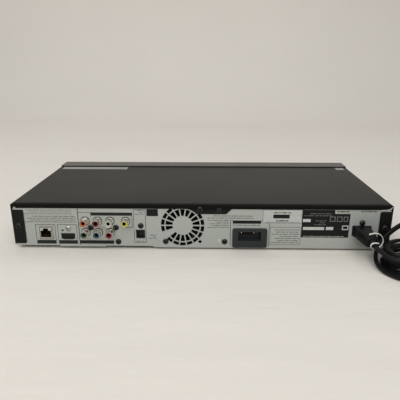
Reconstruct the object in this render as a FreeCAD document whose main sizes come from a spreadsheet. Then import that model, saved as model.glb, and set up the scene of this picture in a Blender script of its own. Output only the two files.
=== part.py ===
import FreeCAD, Part
import os
from math import acos, cos, degrees, pi, radians, sin, sqrt, tan

import Sketcher
from FreeCAD import Placement, Rotation, Vector

# A slim disc player, 430 mm wide, with its mains lead. Millimetres throughout.
# +X is to the right seen from the front, +Y to the rear, +Z up, and z = 0 is the table.
# Every driving dimension is a cell of the sheet, and pieces are bound to those cells.

SIZES = {
    # Whole player
    "overall_width": 430.0,
    "overall_height": 55.0,
    "overall_depth": 220.0,
    "jack_reach": 9.5,
    "button_proud": 0.8,
    "running_gap": 0.3,
    "shaft_gap": 0.05,
    # Sheet metal cover
    "cover_thickness": 0.8,
    "cover_length": 180.0,
    "cover_side_bottom": 6.2,
    "cover_bend": 1.2,
    "lip_bottom": 50.2,
    "tab_bottom": 44.2,
    "tab_right": -29.0,
    "tab_slope": 6.2,
    "flange_width": 13.6,
    "flange_top": 47.9,
    "flange_bottom": 7.0,
    "flange_corner": 2.0,
    "flange_screw_inset": 6.8,
    "flange_screw_z": 28.6,
    # Bottom tray of the case
    "sheet_thickness": 0.8,
    "floor_low": 2.7,
    "floor_high": 4.4,
    "floor_step_x": 53.0,
    "chassis_side_gap": 0.2,
    "chassis_side_top": 46.0,
    "chassis_front_y": -94.8,
    "front_wall_top": 22.0,
    "floor_vent_width": 3.0,
    "floor_vent_length": 34.0,
    "floor_vent_pitch": 9.0,
    "foot_radius": 12.5,
    "foot_base_radius": 11.0,
    "foot_inset": 43.0,
    "foot_front_y": -72.0,
    "foot_back_y": 74.0,
    # Rear panel and fan grille
    "panel_thickness": 0.8,
    "panel_end_clearance": 1.8,
    "panel_top": 53.9,
    "panel_notch_z": 4.4,
    "panel_mid_z": 3.2,
    "panel_slope": 2.0,
    "panel_mid_start": 55.0,
    "panel_mid_length": 56.0,
    "panel_flange_depth": 6.5,
    "fan_x": 20.2,
    "fan_z": 30.0,
    "fan_size": 47.4,
    "fan_depth": 10.0,
    "fan_hole_offset": 19.8,
    "grille_hub_radius": 11.5,
    "grille_ring_inner": 19.6,
    "grille_ring_outer": 20.9,
    "grille_outer_radius": 24.8,
    "grille_short_radius": 22.6,
    "grille_web": 1.4,
    # Fan rotor
    "fan_pin_radius": 2.0,
    "rotor_hub_radius": 11.6,
    "rotor_tip_radius": 21.4,
    "rotor_hub_depth": 7.0,
    "rotor_blade_thickness": 1.2,
    # Front bezel
    "bezel_top": 56.2,
    "bezel_bottom": 6.0,
    "bezel_wall": 2.2,
    "bezel_round": 3.5,
    "window_left": 58.0,
    "window_right": 152.0,
    "window_bottom": 14.0,
    "window_top": 44.0,
    "window_rim": 2.0,
    "window_thickness": 1.0,
    # Buttons and what they press
    "button_travel": 0.5,
    "power_x": -190.0,
    "power_z": 38.0,
    "power_radius": 5.5,
    "eject_x": 176.0,
    "eject_z": 39.0,
    "eject_length": 22.0,
    "eject_height": 5.0,
    "play_x": 169.0,
    "stop_x": 190.0,
    "transport_z": 24.0,
    "transport_length": 15.0,
    "transport_height": 7.0,
    "board_thickness": 1.6,
    "display_board_y": -96.4,
    "switch_height": 3.5,
    "switch_plunger": 1.3,
    # Disc tray
    "drive_x": -24.0,
    "spindle_y": -24.0,
    "tray_half_width": 66.0,
    "tray_bottom": 27.0,
    "tray_top": 33.4,
    "tray_rear_y": 63.0,
    "tray_travel": 132.0,
    "disc_radius": 60.0,
    "disc_clearance": 0.6,
    "small_disc_radius": 40.0,
    "recess_depth": 3.2,
    "small_recess_depth": 1.0,
    "tray_slot_half": 20.0,
    "door_half_width": 68.0,
    "door_bottom": 20.8,
    "door_top": 38.4,
    "door_thickness": 2.0,
    "door_gap": 0.6,
    # Tray drive
    "gear_module": 1.25,
    "gear_backlash": 0.25,
    "gear_z": 21.9,
    "gear_thickness": 4.5,
    "rack_offset": 56.0,
    "rack_back": 3.0,
    "rack_bottom": 21.6,
    "tray_gear_y": -74.0,
    "gear_pin_radius": 2.0,
    "pulley_pin_radius": 1.5,
    "pulley_z": 16.4,
    "pulley_height": 4.2,
    "pulley_radius": 11.3,
    "pulley_groove": 10.0,
    "pulley_flange": 1.0,
    "belt_size": 1.6,
    "motor_x": -14.0,
    "motor_y": -78.0,
    "motor_radius": 11.0,
    "motor_pulley_radius": 5.0,
    "motor_pulley_groove": 3.4,
    # Loader frame
    "loader_half_width": 75.5,
    "loader_wall": 2.5,
    "loader_front_y": -92.0,
    "loader_back_y": 72.0,
    "loader_floor": 6.0,
    "loader_floor_thickness": 2.0,
    "loader_top": 38.0,
    "loader_front_top": 20.0,
    "shelf_inner": 62.5,
    "shelf_thickness": 2.3,
    "guide_lip_length": 14.0,
    "loader_opening_half": 52.0,
    "loader_opening_front": -56.5,
    "loader_opening_back": 54.0,
    # Disc clamp
    "bridge_half_depth": 20.0,
    "bridge_thickness": 1.2,
    "bridge_rise": 3.0,
    "clamp_neck_radius": 12.0,
    "clamp_hole_gap": 1.0,
    "clamp_flange_radius": 16.5,
    "clamp_flange": 2.0,
    "disc_space": 1.5,
    # Traverse that carries spindle and pickup
    "traverse_half_width": 50.0,
    "traverse_front_y": -56.0,
    "traverse_back_y": 58.0,
    "traverse_bottom": 17.0,
    "traverse_thickness": 2.0,
    "traverse_window_half": 40.0,
    "traverse_window_front": -10.5,
    "traverse_window_back": 53.0,
    "pivot_y": 60.0,
    "pivot_radius": 2.0,
    "pivot_length": 7.0,
    "damper_width": 6.5,
    "damper_height": 8.0,
    "damper_wall": 2.0,
    "spindle_motor_radius": 12.5,
    "spindle_motor_bottom": 14.0,
    "spindle_motor_top": 28.0,
    "turntable_radius": 15.0,
    "turntable_top": 33.6,
    "turntable_thickness": 2.0,
    "turntable_cone_radius": 7.4,
    "turntable_cone_height": 2.2,
    "spindle_radius": 1.5,
    "rod_x": 33.0,
    "rod_z": 20.0,
    "rod_radius": 1.5,
    "pickup_half_width": 30.0,
    "pickup_front_y": -8.0,
    "pickup_length": 26.0,
    "pickup_bottom": 15.0,
    "pickup_top": 25.5,
    "pickup_travel": 33.0,
    "lens_y": 0.0,
    "lens_radius": 2.6,
    "lens_top": 31.8,
    "screw_x": 43.0,
    "screw_z": 20.8,
    "screw_radius": 1.5,
    "screw_lead": 3.0,
    "sled_motor_radius": 5.0,
    "sled_motor_length": 16.0,
    "cam_pin_x": 25.0,
    "cam_pin_z": 18.0,
    "cam_pin_radius": 1.9,
    "cam_travel": 16.0,
    "cam_rail_end": 30.0,
    "cam_drop": 5.0,
    "cam_slider_y": -64.0,
    "cam_slider_depth": 5.2,
    "cam_slider_top": 20.4,
    # Boards
    "main_board_z": 10.4,
    "main_board_front": -40.0,
    "main_board_back": 97.5,
    "main_board_left": 60.0,
    "main_board_right": 206.0,
    "strip_board_left": -80.0,
    "strip_board_front": 74.0,
    "strip_board_back": 87.0,
    "strip_board_end": 91.0,
    "strip_notch": -30.0,
    "power_board_z": 12.0,
    "power_board_inset": 9.0,
    "power_board_right": -112.0,
    "power_board_front": -66.0,
    "power_board_back": 97.0,
    "standoff_radius": 3.2,
    "board_screw_radius": 1.25,
    "transformer_x": -172.0,
    "transformer_y": 8.0,
    "heatsink_x": 104.0,
    "heatsink_y": 4.0,
    "heatsink_size": 40.0,
    "heatsink_height": 20.0,
    "heatsink_fin": 1.2,
    # Sockets in the rear panel
    "socket_gap": 0.25,
    "lan_x": 178.0,
    "lan_width": 16.0,
    "lan_height": 15.9,
    "lan_depth": 21.0,
    "lan_proud": 0.7,
    "hdmi_x": 152.5,
    "hdmi_width": 15.4,
    "hdmi_height": 6.2,
    "hdmi_proud": 0.6,
    "rca_pitch_x": 14.2,
    "rca_left_x": 131.6,
    "rca_single_x": 85.2,
    "rca_top_z": 34.8,
    "rca_bottom_z": 20.9,
    "rca_shell_radius": 4.15,
    "rca_shell_wall": 0.5,
    "rca_boss_radius": 5.1,
    "rca_pin_radius": 1.65,
    "rca_block_front": 84.0,
    "rca_boss_proud": 0.4,
    "rca_collar_inset": 0.5,
    "optical_x": 68.7,
    "optical_z": 19.3,
    "optical_size": 9.8,
    "optical_wall": 1.0,
    "optical_depth": 12.5,
    "optical_proud": 0.8,
    "shutter_thickness": 0.7,
    "shutter_inset": 4.1,
    "shutter_drop": 1.1,
    "shutter_barrel_radius": 0.8,
    "shutter_pivot_radius": 0.55,
    "ext_x": -56.4,
    "ext_width": 39.6,
    "ext_bottom": 3.8,
    "ext_top": 27.1,
    "ext_proud": 1.7,
    "ext_recess_left": -43.1,
    "ext_recess_right": -69.1,
    "ext_recess_bottom": 12.2,
    "ext_recess_top": 23.1,
    "ext_recess_depth": 8.4,
    "ext_wall": 1.0,
    "ext_socket_x": -55.0,
    "ext_socket_width": 14.8,
    "ext_socket_bottom": 17.0,
    # Mains inlet and lead
    "inlet_x": -182.6,
    "inlet_z": 24.9,
    "inlet_width": 21.0,
    "inlet_height": 12.2,
    "inlet_proud": 1.5,
    "inlet_cavity_width": 16.6,
    "inlet_cavity_height": 8.8,
    "inlet_cavity_depth": 13.0,
    "inlet_pin_radius": 1.1,
    "inlet_pin_spacing": 8.6,
    "plug_gap": 0.3,
    "plug_body_length": 32.0,
    "plug_neck_length": 5.8,
    "plug_neck_radius": 3.4,
    "tie_radius": 7.9,
    "tie_thickness": 0.6,
    "tie_width": 2.4,
    "tie_inset": 4.0,
    "cord_diameter": 5.0,
    "cord_floor": 2.75,
    "cord_joint_gap": 0.05,
    "lead_straight": 13.9,
    "lead_reach": 28.2,
    "lead_side": 11.0,
    "coil_x": -224.5,
    "coil_y": 142.3,
    "coil_pitch": 5.8,
    "coil_radius": 31.8,
    "coil_start": 75.0,
    "loose_radius": 37.8,
    "loose_lift": 42.0,
    "tail_end_y": 108.0,
    "mains_plug_x": -288.0,
    "mains_plug_length": 26.0,
    "mains_plug_width": 21.0,
    "mains_plug_height": 15.0,
    # Screws
    "case_screw_head": 3.3,
    "panel_screw_head": 2.9,
    "screw_head_height": 1.9,
    "screw_shank": 1.4,
}

COIL_LAYERS = 4
TURNS_PER_LAYER = 1.5
TRAY_GEAR_TEETH = 20
PINION_TEETH = 12
GRILLE_SPOKES = 18
ROTOR_BLADES = 7
PRESSURE_ANGLE = radians(20.0)

doc = FreeCAD.newDocument("disc_player")
sheet = doc.addObject("Spreadsheet::Sheet", "sizes")


class Size:
    """A number together with the sheet expression that gives it."""

    def __init__(self, value, text):
        self.value = float(value)
        self.text = text

    def __float__(self):
        return self.value

    def __add__(self, other):
        other = as_size(other)
        return Size(self.value + other.value, f"({self.text} + {other.text})")

    def __sub__(self, other):
        other = as_size(other)
        return Size(self.value - other.value, f"({self.text} - {other.text})")

    def __mul__(self, other):
        other = as_size(other)
        return Size(self.value * other.value, f"({self.text} * {other.text})")

    def __truediv__(self, other):
        other = as_size(other)
        return Size(self.value / other.value, f"({self.text} / {other.text})")

    def __radd__(self, other):
        return as_size(other) + self

    def __rsub__(self, other):
        return as_size(other) - self

    def __rmul__(self, other):
        return as_size(other) * self

    def __neg__(self):
        return as_size(0) - self


def as_size(number):
    return number if isinstance(number, Size) else Size(number, repr(float(number)))


class Sheet:
    """Writes the cells, and gives each one back as a Size by its name."""

    def __init__(self, cells):
        for row, (alias, number) in enumerate(cells.items(), start=1):
            sheet.set(f"A{row}", alias)
            sheet.set(f"B{row}", str(number))
            sheet.setAlias(f"B{row}", alias)
            setattr(self, alias, Size(number, f"sizes.{alias}"))
        doc.recompute()


s = Sheet(SIZES)

# Planes and levels that several pieces share
half_width = s.overall_width / 2
front_y = -s.overall_depth / 2
back_y = s.overall_depth / 2
cover_back = back_y - s.jack_reach
cover_front = cover_back - s.cover_length
panel_outer = cover_back - s.cover_thickness
panel_inner = panel_outer - s.panel_thickness
flange_inner = half_width - s.flange_width
flange_screw_x = half_width - s.flange_screw_inset
foot_x = half_width - s.foot_inset
power_board_left = -half_width + s.power_board_inset
bezel_face = front_y + s.button_proud
bezel_inner = bezel_face + s.bezel_wall
low_floor_top = s.floor_low + s.sheet_thickness
high_floor_top = s.floor_high + s.sheet_thickness
door_back = bezel_face + s.door_thickness
main_board_top = s.main_board_z + s.board_thickness
power_board_top = s.power_board_z + s.board_thickness
loader_floor_top = s.loader_floor + s.loader_floor_thickness
traverse_top = s.traverse_bottom + s.traverse_thickness
inlet_face = panel_outer + s.inlet_proud
plug_end = inlet_face + s.plug_body_length + s.plug_neck_length
gear_radius = s.gear_module * TRAY_GEAR_TEETH / 2
pinion_radius = s.gear_module * PINION_TEETH / 2
tray_gear_x = s.drive_x - s.rack_offset + gear_radius
MESH_ANGLE = radians(-180.0 / TRAY_GEAR_TEETH)
pulley_x = tray_gear_x + (gear_radius + pinion_radius) * cos(MESH_ANGLE)
pulley_y = s.tray_gear_y + (gear_radius + pinion_radius) * sin(MESH_ANGLE)

jack_columns = [s.rca_left_x, s.rca_left_x - s.rca_pitch_x, s.rca_left_x - s.rca_pitch_x * 2]
RCA_PLACES = [(x, s.rca_top_z) for x in [*jack_columns, s.rca_single_x]]
RCA_PLACES += [(x, s.rca_bottom_z) for x in jack_columns]
CAPS = {
    "open_close_button": (s.eject_x, s.eject_z, s.eject_length, s.eject_height),
    "play_button": (s.play_x, s.transport_z, s.transport_length, s.transport_height),
    "stop_button": (s.stop_x, s.transport_z, s.transport_length, s.transport_height),
}
MAIN_BOARD_HOLES = [(68, -32), (198, -32), (198, 62), (66, 79), (-73, 82)]
POWER_BOARD_HOLES = [(-198, -58), (-120, -58), (-201, 74), (-120, 74)]
FAN_SCREW = (s.fan_x + s.fan_hole_offset, s.fan_z - s.fan_hole_offset)
JACK_SCREWS = [(125.5, 26.8), (96.6, 27.0)]
BLOCK_SCREWS = [(94.7, 9.5), (68.1, 29.3), (151.8, 25.4), (-27.8, 10.4)]
GROUND_SCREW = (s.inlet_x, 34.5)
PANEL_SCREWS = [*JACK_SCREWS, FAN_SCREW]
CASE_SCREWS = [
    (flange_screw_x, s.flange_screw_z),
    (-flange_screw_x, s.flange_screw_z),
    (s.fan_x - s.fan_hole_offset, s.fan_z + s.fan_hole_offset),
]


# Drawing tools: outlines for sketches, bodies made from them, and plain solids


def bind(item, path, size):
    item.setExpression(path, as_size(size).text)


def pin_point(sketch, edge, end, x, y):
    """Holds a point of an edge at x, y from the sketch's own origin."""
    for kind, size in (("DistanceX", as_size(x)), ("DistanceY", as_size(y))):
        index = sketch.addConstraint(Sketcher.Constraint(kind, -1, 1, edge, end, float(size)))
        sketch.setExpression(f"Constraints[{index}]", size.text)


def hold_radius(sketch, edge, radius):
    radius = as_size(radius)
    index = sketch.addConstraint(Sketcher.Constraint("Radius", edge, float(radius)))
    sketch.setExpression(f"Constraints[{index}]", radius.text)


def flat_point(x, y):
    return Vector(float(x), float(y), 0)


def outline(points, arcs=None):
    """A closed outline through points. arcs gives the radius of the edge that leaves a point,
    positive where it bulges to the right of its way and negative where it bulges to the left."""
    arcs = arcs or {}

    def draw(sketch):
        first = sketch.GeometryCount
        count = len(points)
        for i in range(count):
            start = flat_point(*points[i])
            end = flat_point(*points[(i + 1) % count])
            if i in arcs:
                radius = abs(float(arcs[i]))
                side = 1 if float(arcs[i]) > 0 else -1
                chord = end - start
                right = Vector(chord.y, -chord.x, 0).normalize() * side
                rise = radius - sqrt(max(radius**2 - (chord.Length / 2) ** 2, 0))
                middle = (start + end) / 2 + right * rise
                ends = (start, end) if side > 0 else (end, start)
                sketch.addGeometry(Part.Arc(ends[0], middle, ends[1]), False)
            else:
                sketch.addGeometry(Part.LineSegment(start, end), False)
        forward = []
        for i in range(count):
            start = flat_point(*points[i])
            edge = sketch.Geometry[first + i]
            starts_here = (edge.StartPoint - start).Length < (edge.EndPoint - start).Length
            forward.append(starts_here)
        for i in range(count):
            follower = (i + 1) % count
            tail = 2 if forward[i] else 1
            head = 1 if forward[follower] else 2
            sketch.addConstraint(
                Sketcher.Constraint("Coincident", first + i, tail, first + follower, head)
            )
        for i in range(count):
            pin_point(sketch, first + i, 1 if forward[i] else 2, *points[i])
            if i in arcs:
                radius = arcs[i] if float(arcs[i]) > 0 else -as_size(arcs[i])
                hold_radius(sketch, first + i, radius)

    return draw


def rectangle(x0, y0, x1, y1):
    return outline([(x0, y0), (x1, y0), (x1, y1), (x0, y1)])


def rounded(x0, y0, x1, y1, radius):
    """A rectangle with round corners, x0 < x1 and y0 < y1."""
    points = [
        (x0 + radius, y0),
        (x1 - radius, y0),
        (x1, y0 + radius),
        (x1, y1 - radius),
        (x1 - radius, y1),
        (x0 + radius, y1),
        (x0, y1 - radius),
        (x0, y0 + radius),
    ]
    return outline(points, {1: radius, 3: radius, 5: radius, 7: radius})


def circle(x, y, radius):
    def draw(sketch):
        edge = sketch.addGeometry(
            Part.Circle(flat_point(x, y), Vector(0, 0, 1), float(radius)), False
        )
        pin_point(sketch, edge, 3, x, y)
        hold_radius(sketch, edge, radius)

    return draw


def loop_round(x0, y0, radius0, x1, y1, radius1):
    """Two arcs and their outer tangents: a slot, or a belt's line round two pulleys."""

    def draw(sketch):
        start = flat_point(x0, y0)
        end = flat_point(x1, y1)
        r0, r1 = float(radius0), float(radius1)
        along = (end - start).normalize()
        side = Vector(-along.y, along.x, 0)
        lean = acos((r0 - r1) / (end - start).Length)
        left = along * cos(lean) + side * sin(lean)
        right = along * cos(lean) - side * sin(lean)
        edges = [
            Part.Arc(start + left * r0, start - along * r0, start + right * r0),
            Part.LineSegment(start + right * r0, end + right * r1),
            Part.Arc(end + right * r1, end + along * r1, end + left * r1),
            Part.LineSegment(end + left * r1, start + left * r0),
        ]
        first = sketch.GeometryCount
        sketch.addGeometry(edges, False)
        ends = []
        for i, edge in enumerate(edges):
            held = sketch.Geometry[first + i]
            same_way = (held.StartPoint - edge.StartPoint).Length < 1e-6
            ends.append((1, 2) if same_way else (2, 1))
        for i in range(4):
            follower = (i + 1) % 4
            sketch.addConstraint(
                Sketcher.Constraint(
                    "Tangent", first + i, ends[i][1], first + follower, ends[follower][0]
                )
            )
        pin_point(sketch, first, 3, x0, y0)
        pin_point(sketch, first + 2, 3, x1, y1)
        hold_radius(sketch, first, radius0)
        hold_radius(sketch, first + 2, radius1)

    return draw


def ring_window(inner, outer, web):
    """One window of a round grille, centred on the sketch's x axis: two arcs round its origin,
    and two straight sides half a web away from the spokes."""

    def draw(sketch):
        half = pi / GRILLE_SPOKES
        offset = float(web) / 2

        def corner(radius, side):
            along = sqrt(float(radius) ** 2 - offset**2)
            x = along * cos(half) + offset * sin(half)
            y = along * sin(half) - offset * cos(half)
            return Vector(x, y * side, 0)

        low_in, high_in = corner(inner, -1), corner(inner, 1)
        low_out, high_out = corner(outer, -1), corner(outer, 1)
        first = sketch.GeometryCount
        sketch.addGeometry(
            [
                Part.Arc(low_in, Vector(float(inner), 0, 0), high_in),
                Part.Arc(low_out, Vector(float(outer), 0, 0), high_out),
                Part.LineSegment(low_in, low_out),
                Part.LineSegment(high_in, high_out),
            ],
            False,
        )
        for edge, low, high in ((0, 2, 3), (1, 2, 3)):
            end = 1 if edge == 0 else 2
            sketch.addConstraint(
                Sketcher.Constraint("Coincident", first + edge, 1, first + low, end)
            )
            sketch.addConstraint(
                Sketcher.Constraint("Coincident", first + edge, 2, first + high, end)
            )
            sketch.addConstraint(Sketcher.Constraint("Coincident", first + edge, 3, -1, 1))
        hold_radius(sketch, first, inner)
        hold_radius(sketch, first + 1, outer)
        for edge, angle in ((2, -half), (3, half)):
            sketch.addConstraint(Sketcher.Constraint("Angle", first + edge, angle))
            index = sketch.addConstraint(
                Sketcher.Constraint("Distance", -1, 1, first + edge, offset)
            )
            sketch.setExpression(f"Constraints[{index}]", f"{as_size(web).text} / 2")

    return draw


class Body:
    """A PartDesign body whose sketches lie on its own origin planes."""

    PLANES = {"XY": ("XY_Plane", 1), "XZ": ("XZ_Plane", -1), "YZ": ("YZ_Plane", 1)}

    def __init__(self, label, x=0, y=0, z=0, turn=None):
        self.item = doc.addObject("PartDesign::Body", label)
        self.item.Label = label
        if turn:
            self.item.Placement = Placement(Vector(), turn)
        for axis, size in zip("xyz", (x, y, z)):
            bind(self.item, f"Placement.Base.{axis}", size)

    def sketch(self, plane, level, outlines, origin=(0, 0)):
        role, sign = self.PLANES[plane]
        planes = [f for f in self.item.Origin.OriginFeatures if f.Role == role]
        sketch = self.item.newObject("Sketcher::SketchObject", f"{self.item.Name}_sketch")
        sketch.AttachmentSupport = [(planes[0], "")]
        sketch.MapMode = "FlatFace"
        level = as_size(level) * sign
        base = Vector(float(as_size(origin[0])), float(as_size(origin[1])), float(level))
        sketch.AttachmentOffset = Placement(base, Rotation())
        for axis, size in zip("xyz", (origin[0], origin[1], level)):
            bind(sketch, f"AttachmentOffset.Base.{axis}", size)
        for draw in outlines:
            draw(sketch)
        return sketch

    def pad(self, plane, start, end, *outlines, origin=(0, 0), taper=0):
        """Adds material between two levels along the plane's axis."""
        sign = self.PLANES[plane][1]
        level = start if sign > 0 else end
        feature = self.item.newObject("PartDesign::Pad", f"{self.item.Name}_pad")
        feature.Profile = self.sketch(plane, level, outlines, origin)
        bind(feature, "Length", as_size(end) - start)
        if taper:
            feature.TaperAngle = taper
        self.item.Tip = feature
        return feature

    def pocket(self, plane, start, end, *outlines, origin=(0, 0)):
        """Takes material away between two levels along the plane's axis."""
        sign = self.PLANES[plane][1]
        level = end if sign > 0 else start
        feature = self.item.newObject("PartDesign::Pocket", f"{self.item.Name}_pocket")
        feature.Profile = self.sketch(plane, level, outlines, origin)
        bind(feature, "Length", as_size(end) - start)
        self.item.Tip = feature
        return feature

    def turned(self, plane, points, axis="V_Axis", arcs=None, cut=False, origin=(0, 0)):
        """Turns an outline round one of its sketch's axes."""
        kind = "PartDesign::Groove" if cut else "PartDesign::Revolution"
        feature = self.item.newObject(kind, f"{self.item.Name}_turned")
        sketch = self.sketch(plane, 0, [outline(points, arcs)], origin)
        feature.Profile = sketch
        feature.ReferenceAxis = (sketch, [axis])
        feature.Angle = 360
        self.item.Tip = feature
        return feature

    def loft(self, sections, plane):
        """A ruled solid through outlines at several levels."""
        sketches = [self.sketch(plane, level, [draw]) for level, draw in sections]
        feature = self.item.newObject("PartDesign::AdditiveLoft", f"{self.item.Name}_loft")
        feature.Profile = sketches[0]
        feature.Sections = sketches[1:]
        feature.Ruled = True
        self.item.Tip = feature
        return feature

    def round_copies(self, feature, count):
        """Repeats a feature round the normal through its sketch's origin."""
        pattern = self.item.newObject("PartDesign::PolarPattern", f"{self.item.Name}_ring")
        pattern.Originals = [feature]
        pattern.Axis = (feature.Profile[0], ["N_Axis"])
        pattern.Angle = 360
        pattern.Occurrences = count
        self.item.Tip = pattern
        return pattern

    def line_copies(self, feature, axis, pitch, count):
        """Repeats a feature along its sketch's H_Axis or V_Axis."""
        pattern = self.item.newObject("PartDesign::LinearPattern", f"{self.item.Name}_row")
        pattern.Originals = [feature]
        pattern.Direction = (feature.Profile[0], [axis])
        pattern.Occurrences = count
        bind(pattern, "Length", as_size(pitch) * (count - 1))
        self.item.Tip = pattern
        return pattern

    def fillet(self, radius, chosen):
        """Rounds the edges that chosen accepts by their middle and direction."""
        doc.recompute()
        base = self.item.Tip
        names = []
        for index, edge in enumerate(base.Shape.Edges, start=1):
            if len(edge.Vertexes) == 2 and chosen(edge):
                names.append(f"Edge{index}")
        feature = self.item.newObject("PartDesign::Fillet", f"{self.item.Name}_fillet")
        feature.Base = (base, names)
        bind(feature, "Radius", radius)
        self.item.Tip = feature
        return feature


def runs_along(edge, axis):
    start, end = edge.Vertexes[0].Point, edge.Vertexes[1].Point
    way = end - start
    return abs(abs(getattr(way, axis)) - way.Length) < 1e-6


def edge_at(axis, **levels):
    """Accepts straight edges along an axis whose other coordinates are at the levels."""

    def chosen(edge):
        if not runs_along(edge, axis):
            return False
        start = edge.Vertexes[0].Point
        return all(
            abs(abs(getattr(start, name)) - abs(float(size))) < 1e-4
            for name, size in levels.items()
        )

    return chosen


def block(name, x0, x1, y0, y1, z0, z1):
    """A plain block between limits along each axis."""
    item = doc.addObject("Part::Box", name)
    for side, low, high in (("Length", x0, x1), ("Width", y0, y1), ("Height", z0, z1)):
        bind(item, side, as_size(high) - low)
    for axis, low in zip("xyz", (x0, y0, z0)):
        bind(item, f"Placement.Base.{axis}", low)
    return item


def rod(name, axis, radius, start, end, across, up):
    """A round bar along an axis, from start to end; across and up place its other two
    coordinates in X, Y, Z order."""
    item = doc.addObject("Part::Cylinder", name)
    bind(item, "Radius", radius)
    bind(item, "Height", as_size(end) - start)
    turns = {
        "x": Rotation(Vector(0, 1, 0), 90),
        "y": Rotation(Vector(1, 0, 0), -90),
        "z": Rotation(),
    }
    item.Placement = Placement(Vector(), turns[axis])
    places = {"x": (start, across, up), "y": (across, start, up), "z": (across, up, start)}
    for name_of_axis, size in zip("xyz", places[axis]):
        bind(item, f"Placement.Base.{name_of_axis}", size)
    return item


def fused(name, *items):
    item = doc.addObject("Part::MultiFuse", name)
    item.Shapes = list(items)
    item.Refine = True
    return item


def cut_from(name, base, *tools):
    item = doc.addObject("Part::Cut", name)
    item.Base = base
    item.Tool = tools[0] if len(tools) == 1 else fused(f"{name}_tool", *tools)
    return item


def group(name, *items):
    """Separate solids that share one node."""
    item = doc.addObject("Part::Compound", name)
    item.Links = list(items)
    return item


nodes = []


def node(item, label):
    """Names a finished sub-part; its label is its file's name."""
    item.Label = label
    nodes.append(item)
    return item


# Case


def make_bottom_chassis():
    """Folded tray: stepped floor, two sides, low front wall, standoffs and vents."""
    body = Body("bottom_chassis")
    side = half_width - s.cover_thickness - s.chassis_side_gap
    t = s.sheet_thickness
    section = outline(
        [
            (-side, s.floor_low),
            (s.floor_step_x, s.floor_low),
            (s.floor_step_x, s.floor_high),
            (side, s.floor_high),
            (side, s.chassis_side_top),
            (side - t, s.chassis_side_top),
            (side - t, high_floor_top),
            (s.floor_step_x - t, high_floor_top),
            (s.floor_step_x - t, low_floor_top),
            (-side + t, low_floor_top),
            (-side + t, s.chassis_side_top),
            (-side, s.chassis_side_top),
        ]
    )
    body.pad("XZ", cover_front + s.running_gap, panel_inner, section)
    inner = half_width - s.bezel_wall - s.running_gap
    step = s.floor_step_x
    apron = outline(
        [
            (-inner, s.floor_low),
            (step, s.floor_low),
            (step, s.floor_high),
            (inner, s.floor_high),
            (inner, high_floor_top),
            (step - t, high_floor_top),
            (step - t, low_floor_top),
            (-inner, low_floor_top),
        ]
    )
    body.pad("XZ", s.chassis_front_y, cover_front + s.running_gap, apron)
    loader_edge = s.loader_half_width + 2 * s.running_gap
    body.pad(
        "XZ",
        s.chassis_front_y,
        s.chassis_front_y + t,
        rectangle(-inner, s.floor_low, s.drive_x - loader_edge, s.front_wall_top),
    )
    body.pad(
        "XZ",
        s.chassis_front_y,
        s.chassis_front_y + t,
        rectangle(s.drive_x + loader_edge, s.floor_high, inner, s.front_wall_top),
    )
    for x, y in MAIN_BOARD_HOLES:
        low = high_floor_top if float(as_size(x)) > float(s.floor_step_x) else low_floor_top
        body.pad("XY", low, s.main_board_z, circle(x, y, s.standoff_radius))
        body.pocket("XY", low, s.main_board_z, circle(x, y, s.board_screw_radius + s.shaft_gap))
    for x, y in POWER_BOARD_HOLES:
        body.pad("XY", low_floor_top, s.power_board_z, circle(x, y, s.standoff_radius))
        hole = circle(x, y, s.board_screw_radius + s.shaft_gap)
        body.pocket("XY", low_floor_top, s.power_board_z, hole)
    vent_x = s.main_board_left + s.floor_vent_length / 2
    vent = body.pocket(
        "XY",
        s.floor_high,
        high_floor_top,
        rounded(
            vent_x,
            s.main_board_front + s.floor_vent_pitch,
            vent_x + s.floor_vent_width,
            s.main_board_front + s.floor_vent_pitch + s.floor_vent_length,
            s.floor_vent_width / 2 - 0.01,
        ),
    )
    body.line_copies(vent, "H_Axis", s.floor_vent_pitch, 10)
    return node(body.item, "bottom_chassis")


def fan_hole(side_x, side_z):
    return s.fan_x + side_x * s.fan_hole_offset, s.fan_z + side_z * s.fan_hole_offset


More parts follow.
